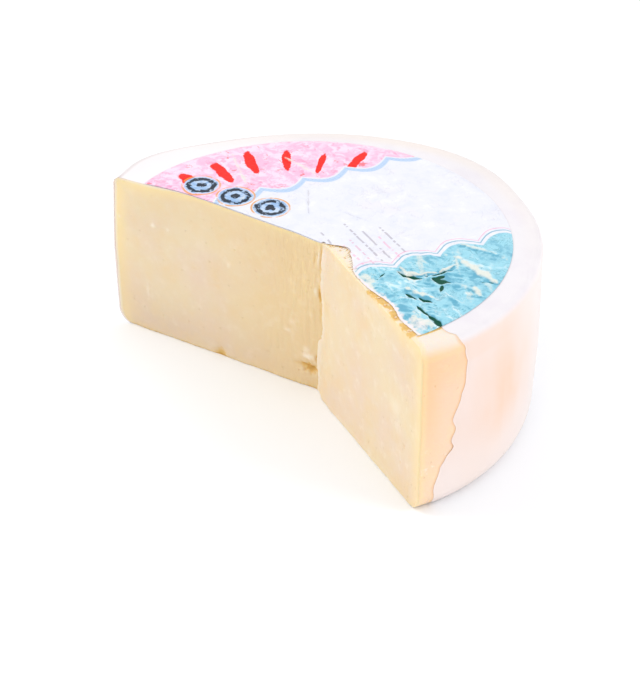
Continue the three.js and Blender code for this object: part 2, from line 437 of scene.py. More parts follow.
PEEL_ON_RIM = (  # height, and distance from the right-hand cut to the film's torn edge
    (0, 9.5), (14, 9.5), (26, 13.0), (31, 16.5), (36, 21.5), (41, 19.8), (47, 22.7), (54, 20.6),
    (66, 25.6), (75, 28.3), (86, 28.8), (96, 27.2), (104, 23.5),
)
TEAR_BITES = (  # along the cut, depth and width of each bite out of the label's torn edge
    (10.5, 8.0, 7.0), (21.5, 5.0, 9.0), (72.0, 4.2, 15.0), (95.5, 2.2, 7.0), (109.0, 5.0, 9.0),
)
TEAR_SLOPE = 1.25  # how fast the torn edge leaves the inner corner


def tear_depth(along, margin):
    """Distance from the right-hand cut to the label's torn edge."""
    depth = margin + sum(deep * MM * bump(along / MM, at, width) for at, deep, width in TEAR_BITES)
    depth += 0.45 * MM * rough(along, 0, 3.1 * MM, seed=5) + 0.2 * MM * rough(along, 0, 1.1 * MM, seed=9)
    return clamp(depth, 0.0, max(0.0, TEAR_SLOPE * along))


def torn_heading(wheel, run, along_to_depth):
    """Heading of a torn edge at a distance from the inner corner, found in small steps."""
    turn = 0.0
    for _ in range(14):
        wanted = math.asin(clamp(along_to_depth(run * math.cos(turn)) / run, 0.0, 0.93))
        turn += 0.4 * (wanted - turn)
    return wheel.right + turn


# ---------- shader maths

class Value:
    """A shader socket that arithmetic can be written on."""

    def __init__(self, graph, socket):
        self.graph = graph
        self.socket = socket

    def __add__(self, other):
        return self.graph.math("ADD", self, other)

    def __sub__(self, other):
        return self.graph.math("SUBTRACT", self, other)

    def __rsub__(self, other):
        return self.graph.math("SUBTRACT", other, self)

    def __mul__(self, other):
        return self.graph.math("MULTIPLY", self, other)

    def __truediv__(self, other):
        return self.graph.math("DIVIDE", self, other)

    def __pow__(self, other):
        return self.graph.math("POWER", self, other)

    __radd__ = __add__
    __rmul__ = __mul__


class Graph:
    """A material's node tree, with its Principled shader and its coordinates at hand."""

    def __init__(self, name, constants):
        self.material = bpy.data.materials.new(name)
        self.material.use_nodes = True
        self.tree = self.material.node_tree
        self.shader = self.tree.nodes["Principled BSDF"]
        for socket, value in constants.items():
            self.shader.inputs[socket].default_value = value
        self.coords = self.node("ShaderNodeTexCoord", output="Object")

    def node(self, kind, settings=None, inputs=None, output=0):
        made = self.tree.nodes.new(kind)
        for key, value in (settings or {}).items():
            setattr(made, key, value)
        for key, value in (inputs or {}).items():
            self.feed(made.inputs[key], value)
        return Value(self, made.outputs[output])

    def feed(self, socket, value):
        if isinstance(value, Value):
            self.tree.links.new(value.socket, socket)
        elif hasattr(value, "__len__") and len(value) == 3 and socket.type == "RGBA":
            socket.default_value = (*value, 1.0)
        else:
            socket.default_value = value

    def math(self, operation, a, b=0.0):
        return self.node("ShaderNodeMath", {"operation": operation}, {0: a, 1: b})

    def vector_math(self, operation, a, b):
        return self.node("ShaderNodeVectorMath", {"operation": operation}, {0: a, 1: b}, "Vector")

    def least(self, a, b):
        return self.math("MINIMUM", a, b)

    def most(self, a, b):
        return self.math("MAXIMUM", a, b)

    def step(self, value, low, high):
        """0 below low, 1 above high, and a smooth step between them."""
        return self.node(
            "ShaderNodeMapRange",
            {"interpolation_type": "SMOOTHSTEP"},
            {"Value": value, "From Min": low, "From Max": high},
            "Result",
        )

    def line(self, value, centre, width):
        """1 where the value is within half a width of the centre, fading just outside."""
        return 1 - self.step(self.math("ABSOLUTE", value - centre), width * 0.35, width * 0.65)

    def window(self, value, start, full, fade, end):
        """1 from full to fade, and 0 before start and after end."""
        return self.step(value, start, full) * (1 - self.step(value, fade, end))

    def noise(self, scale, detail=3.0, roughness=0.55, vector=None, distortion=0.0):
        return self.node(
            "ShaderNodeTexNoise", {},
            {"Vector": vector or self.coords, "Scale": scale, "Detail": detail,
             "Roughness": roughness, "Distortion": distortion},
            "Fac",
        )

    def cells(self, scale):
        return self.node("ShaderNodeTexVoronoi", {}, {"Vector": self.coords, "Scale": scale}, "Distance")

    def pick(self, value):
        """A random number from 0 to 1 that stays the same between two whole values."""
        place = self.math("FLOOR", value)
        return self.node("ShaderNodeTexWhiteNoise", {"noise_dimensions": "1D"}, {"W": place}, "Value")

    def placed(self, location=(0, 0, 0), turn=0.0, scale=(1, 1, 1)):
        """Object coordinates moved, turned about Z and stretched."""
        return self.node(
            "ShaderNodeMapping", {"vector_type": "POINT"},
            {"Vector": self.coords, "Location": location, "Rotation": (0, 0, turn), "Scale": scale},
            "Vector",
        )

    def parts(self, vector):
        split = self.node("ShaderNodeSeparateXYZ", {}, {"Vector": vector})
        outputs = split.socket.node.outputs
        return [Value(self, outputs[axis]) for axis in "XYZ"]

    def fields(self, names):
        """The numbers that the piece's vertices carry, each under its name."""
        return SimpleNamespace(**{
            name: self.node("ShaderNodeAttribute", {"attribute_name": name}, output="Fac") for name in names
        })

    def mix(self, factor, a, b):
        """Mixes two colours."""
        colours = {0: factor, 6: a, 7: b}  # these sockets and the output are the ones for colours
        return self.node("ShaderNodeMix", {"data_type": "RGBA"}, colours, 2)

    def coats(self, colour, *coats):
        """Lays coats over a first colour in turn. Each is a mask and a colour."""
        for mask, coat in coats:
            colour = self.mix(mask, colour, coat)
        return colour

    def relief(self, height, distance, strength=1.0):
        normal = self.node(
            "ShaderNodeBump", {}, {"Height": height, "Distance": distance, "Strength": strength}, "Normal"
        )
        self.feed(self.shader.inputs["Normal"], normal)

    def finish(self, **sockets):
        for name, value in sockets.items():
            self.feed(self.shader.inputs[name.replace("_", " ")], value)
        return self.material


# ---------- cheese

# The dents of each face: where along it, height, half width, half height, depth, and stain with painted
# shade. A depth below 0 stands out of the face, and a stain below 0 is pale; a stain above 0 browns the dent,
# partly as painted shade in it.
DENTS = {
    "left": (
        (59.0, 2.0, 3.5, 5.0, 1.2, 0.60), (4.4, 13.6, 3.4, 2.6, 3.0, 1.05),
        (8.5, 15.0, 3.0, 1.6, 1.0, 0.45), (0.7, 22.2, 1.3, 2.2, 1.0, 0.70),
        (5.6, 21.8, 3.4, 1.8, -0.7, -0.90), (7.0, 26.2, 2.2, 2.6, -0.5, -0.60),
        (3.0, 3.0, 3.0, 4.0, 0.4, 0.25), (1.2, 68.0, 0.6, 4.6, 1.0, 1.05),
        (3.2, 69.5, 1.0, 3.4, -0.3, -0.70), (1.2, 54.5, 0.8, 6.0, 0.5, 0.28),
        (1.2, 93.0, 0.7, 7.5, 0.7, 0.50), (2.8, 93.0, 0.9, 6.5, -0.3, -0.80),
        (5.2, 90.0, 0.6, 5.0, 0.5, 0.35), (15.0, 64.0, 3.0, 1.6, -0.2, -0.28),
        (9.5, 58.5, 2.2, 3.0, -0.2, -0.30), (6.0, 52.0, 1.6, 2.2, -0.2, -0.35),
        (20.0, 52.0, 3.4, 1.8, -0.2, -0.28), (15.0, 42.5, 3.0, 2.2, -0.2, -0.34),
        (103.0, 76.0, 1.8, 2.0, -0.4, -0.80), (94.0, 75.5, 1.3, 1.4, -0.3, -0.60),
        (124.0, 76.0, 1.2, 1.6, -0.3, -0.50), (17.0, 36.0, 2.6, 1.6, -0.3, -0.50),
        (55.0, 66.0, 1.4, 2.2, -0.3, -0.50), (107.0, 30.0, 1.1, 7.0, -0.3, -0.50),
        (62.0, 49.0, 4.0, 1.4, 0.3, 0.20), (98.0, 62.0, 3.0, 1.6, 0.3, 0.18),
        (46.0, 86.0, 1.6, 3.0, 0.3, 0.20), (76.0, 56.0, 2.4, 1.2, 0.3, 0.16),
    ),
    "right": (
        (99.0, 52.0, 8.0, 6.0, -0.2, -0.45), (101.0, 40.0, 5.0, 4.0, 0.3, -0.35),
        (110.0, 33.0, 1.2, 1.2, 0.6, 0.35), (106.0, 20.0, 1.0, 1.0, 0.6, 0.35),
    ),
}
CUT_EDGES = {  # radius of each face's soft edges: top near the corner, top near the rim, rim, base
    "right": (0.6 * MM, 4.0 * MM, 1.6 * MM, 1.0 * MM),
    "left": (0.5 * MM, 0.6 * MM, 0.3 * MM, 1.0 * MM),
}


def dents(side, along, height):
    """Depth, and stain with painted shade, of the named dents at a place on a face of the cut."""
    deep = stain = 0.0
    for at, level, wide, tall, depth, brown in DENTS[side]:
        from_middle, from_level = along / MM - at, height / MM - level
        if abs(from_middle) < 3 * wide and abs(from_level) < 3 * tall:
            uneven = 1 + 0.5 * rough(along, height, 1.6 * MM, seed=at * 0.9)
            amount = bump(from_middle, 0.0, wide * uneven) * bump(from_level, 0.0, tall * uneven)
            deep += depth * MM * amount
            stain += brown * amount
    return deep, stain


def eyes(along, height, spacing, seed):
    """Small closed eyes: 1 at the middle of one, 0 away from them."""
    distances, _ = noise.voronoi(Vector((along / spacing, height / spacing, seed)))
    return smooth(0.0, 1.0, 1 - distances[0] / 0.12)


def face_relief(look, side, along, height, wheel_height):
    """How far a face of the cut stands out of its plane, and how brown it is, partly with painted shade."""
    seed = 3.0 if side == "left" else 17.0
    near_corner = bump(along, 0.0, 34 * MM)
    sway = along + 1.2 * MM * rough(along, height, 12 * MM, 9 * MM, seed + 1)
    strokes = rough(sway, height, 1.9 * MM, 22 * MM, seed + 2)
    strokes += 0.6 * rough(sway, height, 0.9 * MM, 9 * MM, seed + 4)
    out = look.broad_relief * rough(along, height, 30 * MM, 24 * MM, seed)
    out += 0.22 * look.broad_relief * rough(along, height, 7 * MM, 9 * MM, seed + 5)
    out += look.stroke_relief * strokes * (0.25 + (1.9 if side == "left" else 0.3) * near_corner)
    out += 0.05 * MM * rough(along, height, 2.3 * MM, seed=seed + 6)
    out -= look.eye_depth * eyes(along, height, look.eye_spacing, seed)
    low_edge = bump(height, 0.0, 3.0 * MM)
    out += 0.45 * MM * low_edge * rough(along, 0, 8 * MM, seed=seed + 8)
    out -= 0.30 * MM * low_edge * max(0.0, rough(along, 0, 2.6 * MM, seed=seed + 10))
    deep, stain = dents(side, along, height)
    out -= deep
    if side == "right":
        ragged = 0.55 + 0.8 * rough(height, 0, 11 * MM, seed=31) + 0.4 * rough(height, 0, 3 * MM, seed=37)
        ragged = clamp(ragged)
        lip = bump(along, 0.2 * MM, 1.5 * MM) * ragged
        out += 0.9 * MM * lip
        stain -= 0.75 * bump(along, 1.0 * MM, 2.2 * MM) * (0.4 + 0.6 * ragged)
    else:
        # painted shade: a darker line in the inner corner of the left-hand face
        stain += 0.16 * bump(along, 0.4 * MM, 0.8 * MM) * (1 + 0.9 * rough(height, 0, 5 * MM, seed=39))
        stain += 0.10 * near_corner * max(0.0, strokes)
        # painted shadow: darker towards the base, with a dark line along the base edge
        stain += 0.12 * low_edge * (1 + rough(along, 0, 9 * MM, seed=41))
        stain += 0.55 * bump(height, 0.0, 1.0 * MM) * (0.8 + rough(along, 0, 6 * MM, seed=51))
    nibbles = bump(height, wheel_height, 0.9 * MM) * max(0.0, rough(along, 0, 3.4 * MM, seed=seed + 12))
    return out - 0.35 * MM * nibbles, stain


def corner_wobble(height):
    """The inner corner isn't straight: the knife stopped unevenly along it."""
    x = 0.35 * MM * rough(height, 0, 4 * MM, seed=43) + 0.25 * MM * rough(height, 0, 1.7 * MM, seed=45)
    y = 0.3 * MM * rough(height, 0, 11 * MM, seed=47)
    return Vector((x, y, 0.0))


def softened(inward, down, radius):
    """How far a place near a square edge moves away from each of its two faces to round that edge."""
    out, up = 1 - inward / radius, 1 - down / radius
    if out <= 0 or up <= 0:
        return 0.0, 0.0
    return (
        radius * out * (1 - math.sqrt(1 - up * up / 2)),
        radius * up * (1 - math.sqrt(1 - out * out / 2)),
    )


def soften_cut_edges(wheel, side, point, heading, depth, height):
    """Rounds the edges where one face of the cut meets the top, the rim and the base."""
    shape = wheel.shape
    start, normal = wheel.faces[side]
    turn = abs(heading - start)
    if turn > 1.4:
        return
    ray = wheel.ray(heading, height)
    run = depth / shape.radius * ray
    inward = run * math.sin(turn)
    near_corner, near_rim, rim, base = CUT_EDGES[side]
    top = near_corner + (near_rim - near_corner) * smooth(80 * MM, 108 * MM, run)
    inside = towards(normal).to_3d()
    upwards = Vector((0, 0, 1))
    for away, direction, radius in (
        (shape.height - height, -upwards, top),
        (ray - run, -towards(heading).to_3d(), rim),
        (height, upwards, base),
    ):
        back, down = softened(inward, away, radius)
        point += inside * back + direction * down


def torn_rind(wheel, point, height, label):
    """Toasting, painted shadow along and under the label's edges, cracks and relief of the bare rind beside
    the label's torn edge, and its distance.
    """
    along, across = wheel.flat(point)
    away = tear_depth(along, label.margin) - across
    on_top = smooth(wheel.shape.height - 5 * MM, wheel.shape.height - 0.5 * MM, height)
    ahead = smooth(-1.0 * MM, 2.5 * MM, along)
    beside = smooth(-2.5 * MM, -0.5 * MM, away) * ahead * on_top
    uneven = rough(along, across, 3.2 * MM, seed=61) + 0.6 * rough(along, across, 1.3 * MM, seed=63)
    reach = MM * (2.5 + 1.5 * rough(along, 0, 9 * MM, seed=67) + 0.8 * rough(along, 0, 2.5 * MM, seed=69))
    drop = max(0.0, wheel.shape.height - 0.5 * MM - height)
    golden = smooth(50 * MM, 56 * MM, along) * math.exp(-max(0.0, away + drop - reach) / (1.4 * MM))
    golden *= clamp(0.85 + 1.1 * uneven) * (1 - 0.85 * bump(along, 87.5 * MM, 2.8 * MM))
    golden *= 1 - smooth(99 * MM, 105 * MM, along)
    crumbly = (1 - smooth(5 * MM, 11 * MM, along)) * clamp(0.75 + 1.4 * uneven)
    golden = max(golden, crumbly * bump(away, 0.3 * MM, 1.3 * MM))
    # painted shadow: a brown line along the label's torn edge, strongest near the inner corner
    outline = 0.58 * bump(away, 0.1 * MM, 0.7 * MM) * clamp(0.60 + 1.1 * uneven)
    outline *= 1 - 0.8 * smooth(16 * MM, 24 * MM, along)
    centre = wheel.axis + Vector((label.centre_x, label.centre_y))
    past_rim = (point.to_2d() - centre).length - label.radius
    outline *= 1 - smooth(0.0, 1 * MM, past_rim)
    # painted shadow under the label's rim where it lies on the bare rind
    under_rim = bump(past_rim, 0.4 * MM, 1.0 * MM) * smooth(3 * MM, 0.5 * MM, away)
    under_rim *= 1 - smooth(20 * MM, 24 * MM, across)
    under_rim *= smooth(72 * MM, 82 * MM, along) * clamp(0.8 + 0.5 * uneven)
    toast = max(beside * max(golden, outline), 0.75 * under_rim * on_top)
    crack = beside * (1 - smooth(30 * MM, 38 * MM, along)) * smooth(1 * MM, 5 * MM, along)
    bumpy = beside * smooth(33 * MM, 41 * MM, along) * 0.30 + on_top * 0.05
    relief = bumpy * MM * (min(uneven, 0.0) + max(uneven, 0.0) * smooth(-0.2 * MM, 0.8 * MM, away))
    relief -= 0.05 * MM * beside * golden
    return toast, crack, relief, away


CHEESE_LAYERS = ("skin", "cut", "stain", "toast", "crack", "away", "left", "inward", "peel")
ON_FACE = 1e-3  # how near to a face of the cut, in radians, a vertex of the block lies on it


def turn_of(place):
    """How far round the inner corner from the right-hand cut a place of the plain block lies."""
    turned = math.atan2(place.y, place.x)
    return turned if turned > -0.5 else turned + math.tau


def plain_block(span, columns=64, rows=48, sweeps=130):
    """A unit square swept about the inner corner, finely divided on both cuts and on the top beside them."""
    bm = bmesh.new()
    grid(bm, columns, rows)
    for vert in bm.verts:
        vert.co = Vector((vert.co.x, 0.0, vert.co.y))
    bmesh.ops.spin(
        bm, geom=bm.verts[:] + bm.edges[:] + bm.faces[:], cent=(0, 0, 0), axis=(0, 0, 1),
        dvec=(0, 0, 0), angle=span, steps=sweeps, use_merge=False, use_duplicate=False,
    )
    bmesh.ops.remove_doubles(bm, verts=bm.verts, dist=1e-5)

    def wants_detail(face):
        middle = face.calc_center_median()
        turn = turn_of(middle)
        if turn < ON_FACE or turn > span - ON_FACE:
            return True
        run = math.hypot(middle.x, middle.y)
        return middle.z > 1 - ON_FACE and (turn < 0.62 or (run < 0.28 and turn < 1.25))

    edges = {edge for face in bm.faces if wants_detail(face) for edge in face.edges}
    bmesh.ops.subdivide_edges(bm, edges=list(edges), cuts=2, use_grid_fill=True)
    return bm


def skin_depth(shape, depth, height):
    """How deep under the rind a place on a face of the cut lies. Under the top it is taken deeper."""
    outer = smooth(60 * MM, 105 * MM, depth)
    below_top = (2.6 - 2.2 * outer) * MM + (shape.height - height) * (2.5 - 1.7 * outer)
    return min(shape.radius - depth, below_top, 7.0 * MM + height * 2.0)


def cheese_mesh(wheel, look, label, film):
    """Paste and rind in one skin: the plain block laid on the wheel's outline, then worn and dented."""
    shape = wheel.shape
    bm = plain_block(wheel.span)
    layers = add_layers(bm, CHEESE_LAYERS)
    for vert in bm.verts:
        across = vert.co.to_2d().length
        at_corner = across < 1e-6
        part = turn_of(vert.co) / wheel.span if not at_corner else 0.5
        heading = wheel.right + wheel.span * crowded(part, 0.8)
        depth = shape.radius * crowded(across, 0.5)
        height = shape.height * crowded(vert.co.z, 0.4)
        sides = []
        if part * wheel.span < ON_FACE or at_corner:
            sides.append("right")
        if part > 1 - ON_FACE or at_corner:
            sides.append("left")
        if sides:
            mark(vert, layers, cut=1.0, skin=skin_depth(shape, depth, height) / MM)
        run = depth / shape.radius * wheel.ray(heading, height)
        inward = run * math.sin(min(heading - wheel.right, math.pi / 2))
        from_left = run * math.sin(min(wheel.left - heading, math.pi / 2))
        peel = inward - film_edge(shape, film, run, depth, height)
        depth, height = wheel.round_off(depth, height, heading)
        point = wheel.place(heading, depth, height)
        for side in wheel.faces:
            soften_cut_edges(wheel, side, point, heading, depth, height)
        point += corner_wobble(height) * math.exp(-depth / (2.5 * MM))
        for side in sides:
            relief, brown = face_relief(look, side, depth, height, shape.height)
            point -= towards(wheel.faces[side][1]).to_3d() * relief * (0.5 if at_corner else 1.0)
            vert[layers["stain"]] += brown
        toast, crack, relief, away = torn_rind(wheel, point, height, label)
        point.z += relief
        vert.co = point
        mark(
            vert, layers, toast=toast, crack=crack, left=float("left" in sides),
            away=clamp(away / MM, -6, 6), peel=clamp(peel / MM, -12, 12),
            inward=clamp(min(inward, from_left) / MM, 0, 40),
        )
    bmesh.ops.recalc_face_normals(bm, faces=bm.faces)
    soften(bm, 38)
    return bm


def paste_colour(g, look, at):
    """The cut paste, from its clouds to the yellow band under the rind."""
    drifts = g.noise(42, 3.0, 0.5, g.placed(location=(0.3, 0.1, 0.2)))
    near_corner = (1 - g.step(at.reach, 0.004, 0.085)) * at.left
    near_top = g.step(at.height, 0.070, 0.100) * (1 - g.step(at.reach, 0.080, 0.115) * 0.85)
    low_down = (1 - g.step(at.height, 0.0, 0.05)) * at.left
    band_edge = at.skin + (g.noise(60, 2.0) - 0.5) * 3.0
    near_rind = 1 - g.step(band_edge, 0.0, 26.0)
    in_band = 1 - g.step(band_edge, 0.0, look.band_depth / MM)
    in_band = in_band * (1 - (1 - at.left) * (1 - g.step(at.reach, 0.050, 0.095)) * 0.60)
    return g.coats(
        look.paste,
        (g.step(g.noise(24, 2.0), 0.35, 0.68), look.rosy),
        (g.step(drifts, 0.50, 0.72) * 0.45, look.deep),
        (near_corner * 0.85, look.deep),
        (near_top * at.left * 0.35, look.deep),
        (low_down * (0.26 + g.step(at.reach, 0.060, 0.115) * 0.24), look.shade),
        (g.step(at.blotches, 0.42, 0.72) * 0.25, look.deep),
        (g.step(at.blotches, 0.46, 0.26) * (0.32 - at.left * 0.17), look.pale),
        (g.step(at.grains, 0.52, 0.78) * 0.10, look.pale),
        (g.step(at.strokes, 0.52, 0.70) * at.stroke_room * 0.55, look.band),
        (g.step(at.strokes, 0.46, 0.28) * at.stroke_room * 0.22, look.stain),
        (near_rind * (0.15 + at.left * 0.07) + in_band * (0.44 + at.left * 0.26), look.band),
        (in_band * (1 - g.step(at.height, 0.020, 0.075)) * at.left * 0.34, look.shade),
        (g.step(at.skin, 2.4, 0.5) * at.left * 0.72, look.pale),
    )


def rind_colour(g, look, at, wheel_height):
    """The bare rind, on the rim and on the top."""
    top = g.step(at.height, wheel_height - 7 * MM, wheel_height - 1 * MM)
    low = 1 - g.step(at.height, 0.010, 0.085)
    high = g.step(at.height, 0.070, 0.090)
    beside_cut = 1 - g.step(at.inward + (at.blotches - 0.5) * 1.5, 1.0, 5.0)
    scuffs = g.step(g.noise(190, 4.0, 0.65), 0.56, 0.66) * g.line(at.height, 0.030, 0.018)
    beside_film = g.window(at.peel, -2.2, -0.2, 0.3, 2.0) * (1 - top * 0.3) * (1 - low * 0.3)
    return g.coats(
        look.rind_side,
        (g.step(at.inward, 4.0, 16.0) * (0.6 - high * 0.36), look.rind_far),
        (low * 0.85, look.rind_low),
        (g.line(at.height, wheel_height - 6 * MM, 6 * MM) * 0.2, look.band),
        (top, look.rind_top),
        (g.step(at.blotches, 0.45, 0.75) * 0.20, look.band),
        (beside_cut * 0.45, look.band),
        (scuffs * 0.6, look.pale),
        (beside_film * 0.75, look.rind_shaded),
    )


def cheese_material(look, wheel):
    g = Graph("kasseri paste and rind", {
        "IOR": 1.45, "Specular IOR Level": 0.40, "Subsurface Weight": 0.20,
        "Subsurface Radius": (1.0, 0.62, 0.32), "Subsurface Scale": 0.005,
    })
    at = g.fields(CHEESE_LAYERS)
    at.height = g.parts(g.coords)[2]
    from_corner = g.vector_math("SUBTRACT", g.coords, (*wheel.middle, 0.0))
    level = g.vector_math("MULTIPLY", from_corner, (1, 1, 0))
    at.reach = g.node("ShaderNodeVectorMath", {"operation": "LENGTH"}, {0: level}, "Value")
    at.blotches = g.noise(110, 3.0, 0.6)
    at.grains = g.noise(330, 3.0, 0.6)
    at.strokes = g.noise(1.0, 3.0, 0.6, g.placed(scale=(620, 620, 120)), 0.5)
    high_up = 0.18 + 0.82 * g.step(at.height, 0.045, 0.085)
    at.stroke_room = at.left * (1 - g.step(at.reach, 0.006, 0.045)) * high_up
    speckle = g.noise(900, 3.0, 0.7)
    eyes = g.step(g.cells(150), 0.16, 0.05)

    # golden toasting of the torn rind, together with the painted shadows of the label's edges
    browning_and_shadow = at.toast + (at.grains - 0.5) * 0.5
    split_at = g.math("FRACT", at.reach * 540.0 + (g.noise(210, 2.0) - 0.5) * 2.0)
    split_end = 3.4 + (g.noise(260, 1.0) - 0.5) * 10.0
    splits = at.crack * g.step(at.away, split_end, split_end - 2.2)
    cracks = g.line(split_at, 0.5, 0.26) * splits
    all_over = g.coats(
        rind_colour(g, look, at, wheel.shape.height),
        (g.step(at.cut, 0.4, 1.0), paste_colour(g, look, at)),
        (g.step(speckle, 0.62, 0.85) * 0.10, look.stain),
        (eyes * 0.08, look.stain),
        (g.step(at.stain, -0.02, -0.9) * 0.75, look.pale),
        # brown stains, and painted shade of dents, the inner corner and the base
        (g.step(at.stain, 0.02, 0.75) * 0.80, look.golden),
        (g.step(at.stain, 0.45, 1.3) * 0.70, look.stain),
        (g.step(browning_and_shadow, 0.12, 0.55) * 0.85, look.golden),
        (g.step(browning_and_shadow, 0.66, 1.25) * 0.55, look.stain),
        (cracks * 0.78, g.mix(g.step(at.away, 2.6, 0.4), look.golden, look.crack)),
    )

    weave = g.node(
        "ShaderNodeTexWave", {"wave_type": "BANDS", "bands_direction": "Z"},
        {"Vector": g.coords, "Scale": 150.0, "Distortion": 2.0, "Detail": 2.0, "Detail Scale": 2.0}, "Fac",
    )
    grain = speckle * 0.12 + at.grains * 0.35 + at.blotches * 0.9 + at.strokes * at.stroke_room * 0.8
    marks = weave * (1 - at.cut) * 0.15 - cracks + at.toast * at.grains * 0.8 - eyes * 0.8
    g.relief(grain + marks, 0.45 * MM, 0.6)
    return g.finish(Base_Color=all_over, Roughness=0.42 + g.noise(210, 3.0) * 0.22)


# ---------- film

def film_section(shape, part, top_radius, foot, outside):
    """A point of the film's section, from the inner corner over the rim to its foot.

    Gives the depth and height, and how far round the section the point is.
    """
    angle_at_foot = math.asin((shape.base_edge - foot) / (shape.base_edge + outside))
    flat_run = shape.radius - top_radius
    arc_top = top_radius * math.pi / 2
    side_run = shape.height - top_radius - shape.base_edge
    arc_base = shape.base_edge * angle_at_foot
    path = part * (flat_run + arc_top + side_run + arc_base)
    if path <= flat_run:
        return path, shape.height + outside, path
    beyond = path - flat_run
    if beyond <= arc_top:
        bend = beyond / top_radius
        reach = top_radius + outside
        return flat_run + reach * math.sin(bend), shape.height - top_radius + reach * math.cos(bend), path
    beyond -= arc_top
    if beyond <= side_run:
        return shape.radius + outside, shape.height - top_radius - beyond, path
    bend = (beyond - side_run) / shape.base_edge
    reach = shape.base_edge + outside
    return (
        shape.radius - shape.base_edge + reach * math.cos(bend),
        shape.base_edge - reach * math.sin(bend), path,
    )


def film_edge(shape, look, run, depth, height):
    """Distance from the right-hand cut to the film's torn edge."""
    on_top = look.peel_at_corner + look.peel_slope * run
    on_rim = follow(PEEL_ON_RIM, height)
    edge = on_top + (on_rim - on_top) * smooth(shape.radius - 12 * MM, shape.radius - 3 * MM, depth)
    path = depth + shape.height - height
    edge += 0.5 * MM * rough(path, 0, 5 * MM, seed=71) + 0.35 * MM * rough(path, 0, 1.7 * MM, seed=73)
    return edge * smooth(0, 2.5 * MM, run)


WARM_PATCHES = (  # heading and half width in degrees, height and half height in millimetres, strength
    (-33.0, 15.5, 53.5, 36.0, 0.82), (36.0, 13.0, 44.0, 24.0, 0.34), (83.0, 19.0, 60.0, 30.0, 0.28),
    (128.0, 10.0, 48.0, 26.0, 0.32),
)


def warmth(heading, height, reach):
    """Strength of the soft apricot patches on the rim."""
    degrees, level = math.degrees(heading), height / MM
    patches = sum(
        strength * bump(degrees, at, wide) * bump(level, up, tall)
        for at, wide, up, tall, strength in WARM_PATCHES
    )
    around = heading * reach
    uneven = rough(around, height, 24 * MM, 46 * MM, 91) + 0.5 * rough(around, height, 9 * MM, 20 * MM, 93)
    return patches * clamp(1 + 0.55 * uneven, 0.3, 1.3)


FILM_LAYERS = ("edge", "loose", "fin", "warm", "crease", "brim", "far", "back")


def film_mesh(wheel, look, columns=232, rows=126, fin_columns=4):
    """The film: a grid laid from its torn edge round to the left-hand cut, with a fin of columns past it."""
    shape = wheel.shape
    bm = bmesh.new()
    grid(bm, columns, rows)
    layers = add_layers(bm, FILM_LAYERS)
    covering = columns - fin_columns
    starts = {}
    for vert in bm.verts:
        column, row = vert.co.x * columns / covering, round(vert.co.y, 5)
        fin = max(0.0, column - 1) * covering / fin_columns
        section = 0.006 + 0.994 * (row * 0.75 + 0.25 * smooth(0, 1, row))
        depth, height, path = film_section(shape, section, shape.top_edge, look.foot, look.gap)
        run = depth / shape.radius * wheel.ray(wheel.right, min(height, shape.height))
        if row not in starts:
            starts[row] = torn_heading(
                wheel, run, lambda along: film_edge(shape, look, along, depth, height)
            )
        start = starts[row]
        heading = start + (wheel.left - start) * crowded(min(column, 1.0), 0.35)
        from_edge = run * (heading - start)
        from_left = run * (wheel.left - heading)
        on_rim = smooth(shape.radius - 12 * MM, shape.radius, depth)
        curl = bump(height, 36 * MM, 5 * MM) * on_rim
        lift = look.lift * math.exp(-from_edge / (2.6 * MM)) * (0.85 + 0.5 * rough(path, 0, 12 * MM, seed=79))
        lift += 0.25 * MM * curl * math.exp(-from_edge / (1.6 * MM))
        lift *= 0.1 + 0.9 * on_rim
        slack = 0.12 * MM * on_rim * (1 + rough(heading * shape.radius, path, 30 * MM, 45 * MM, seed=83))
        pleats = rough(heading * shape.radius, path, 4.2 * MM, 22 * MM, seed=89)
        slack += 0.22 * MM * max(0.0, pleats) * bump(height, 2 * MM, 8 * MM)
        tight = max(math.exp(-from_edge / (2 * MM)), math.exp(-from_left / (2 * MM)))
        outside = look.gap * (1 - 0.9 * tight) + lift + slack * (1 - tight)
        outside += 0.5 * look.fin * on_rim * fin ** 1.5
        heading += (0.15 + 0.85 * on_rim) * fin * look.fin / max(run, 8 * MM)
        depth, height, _ = film_section(shape, section, wheel.top_edge(heading), look.foot, outside)
        vert.co = wheel.place(heading, depth, height)
        over_edge = depth - (shape.radius - shape.top_edge)
        # painted shade line along the rim's top edge at the back
        crease = bump(over_edge, 0.36 * shape.top_edge, 0.3 * MM) if height > shape.height / 2 else 0.0
        on_brim = smooth(shape.radius - 15 * MM, shape.radius - 6 * MM, depth)
        on_brim *= smooth(85 * MM, 98 * MM, height)
        degrees = math.degrees(heading)
        mark(
            vert, layers, loose=(lift + slack) / MM, fin=smooth(0.0, 0.6, fin) * on_rim,
            edge=math.exp(-from_edge / (0.9 * MM)) * on_rim, warm=warmth(heading, height, shape.radius),
            crease=crease * smooth(100, 112, degrees), brim=0.85 * on_brim * bump(degrees, 66, 52),
            far=smooth(-42, -6, degrees), back=smooth(95, 120, degrees),
        )
    give_thickness(bm, look.thickness, shape.height - MM)
    soften(bm, 50)
    return bm


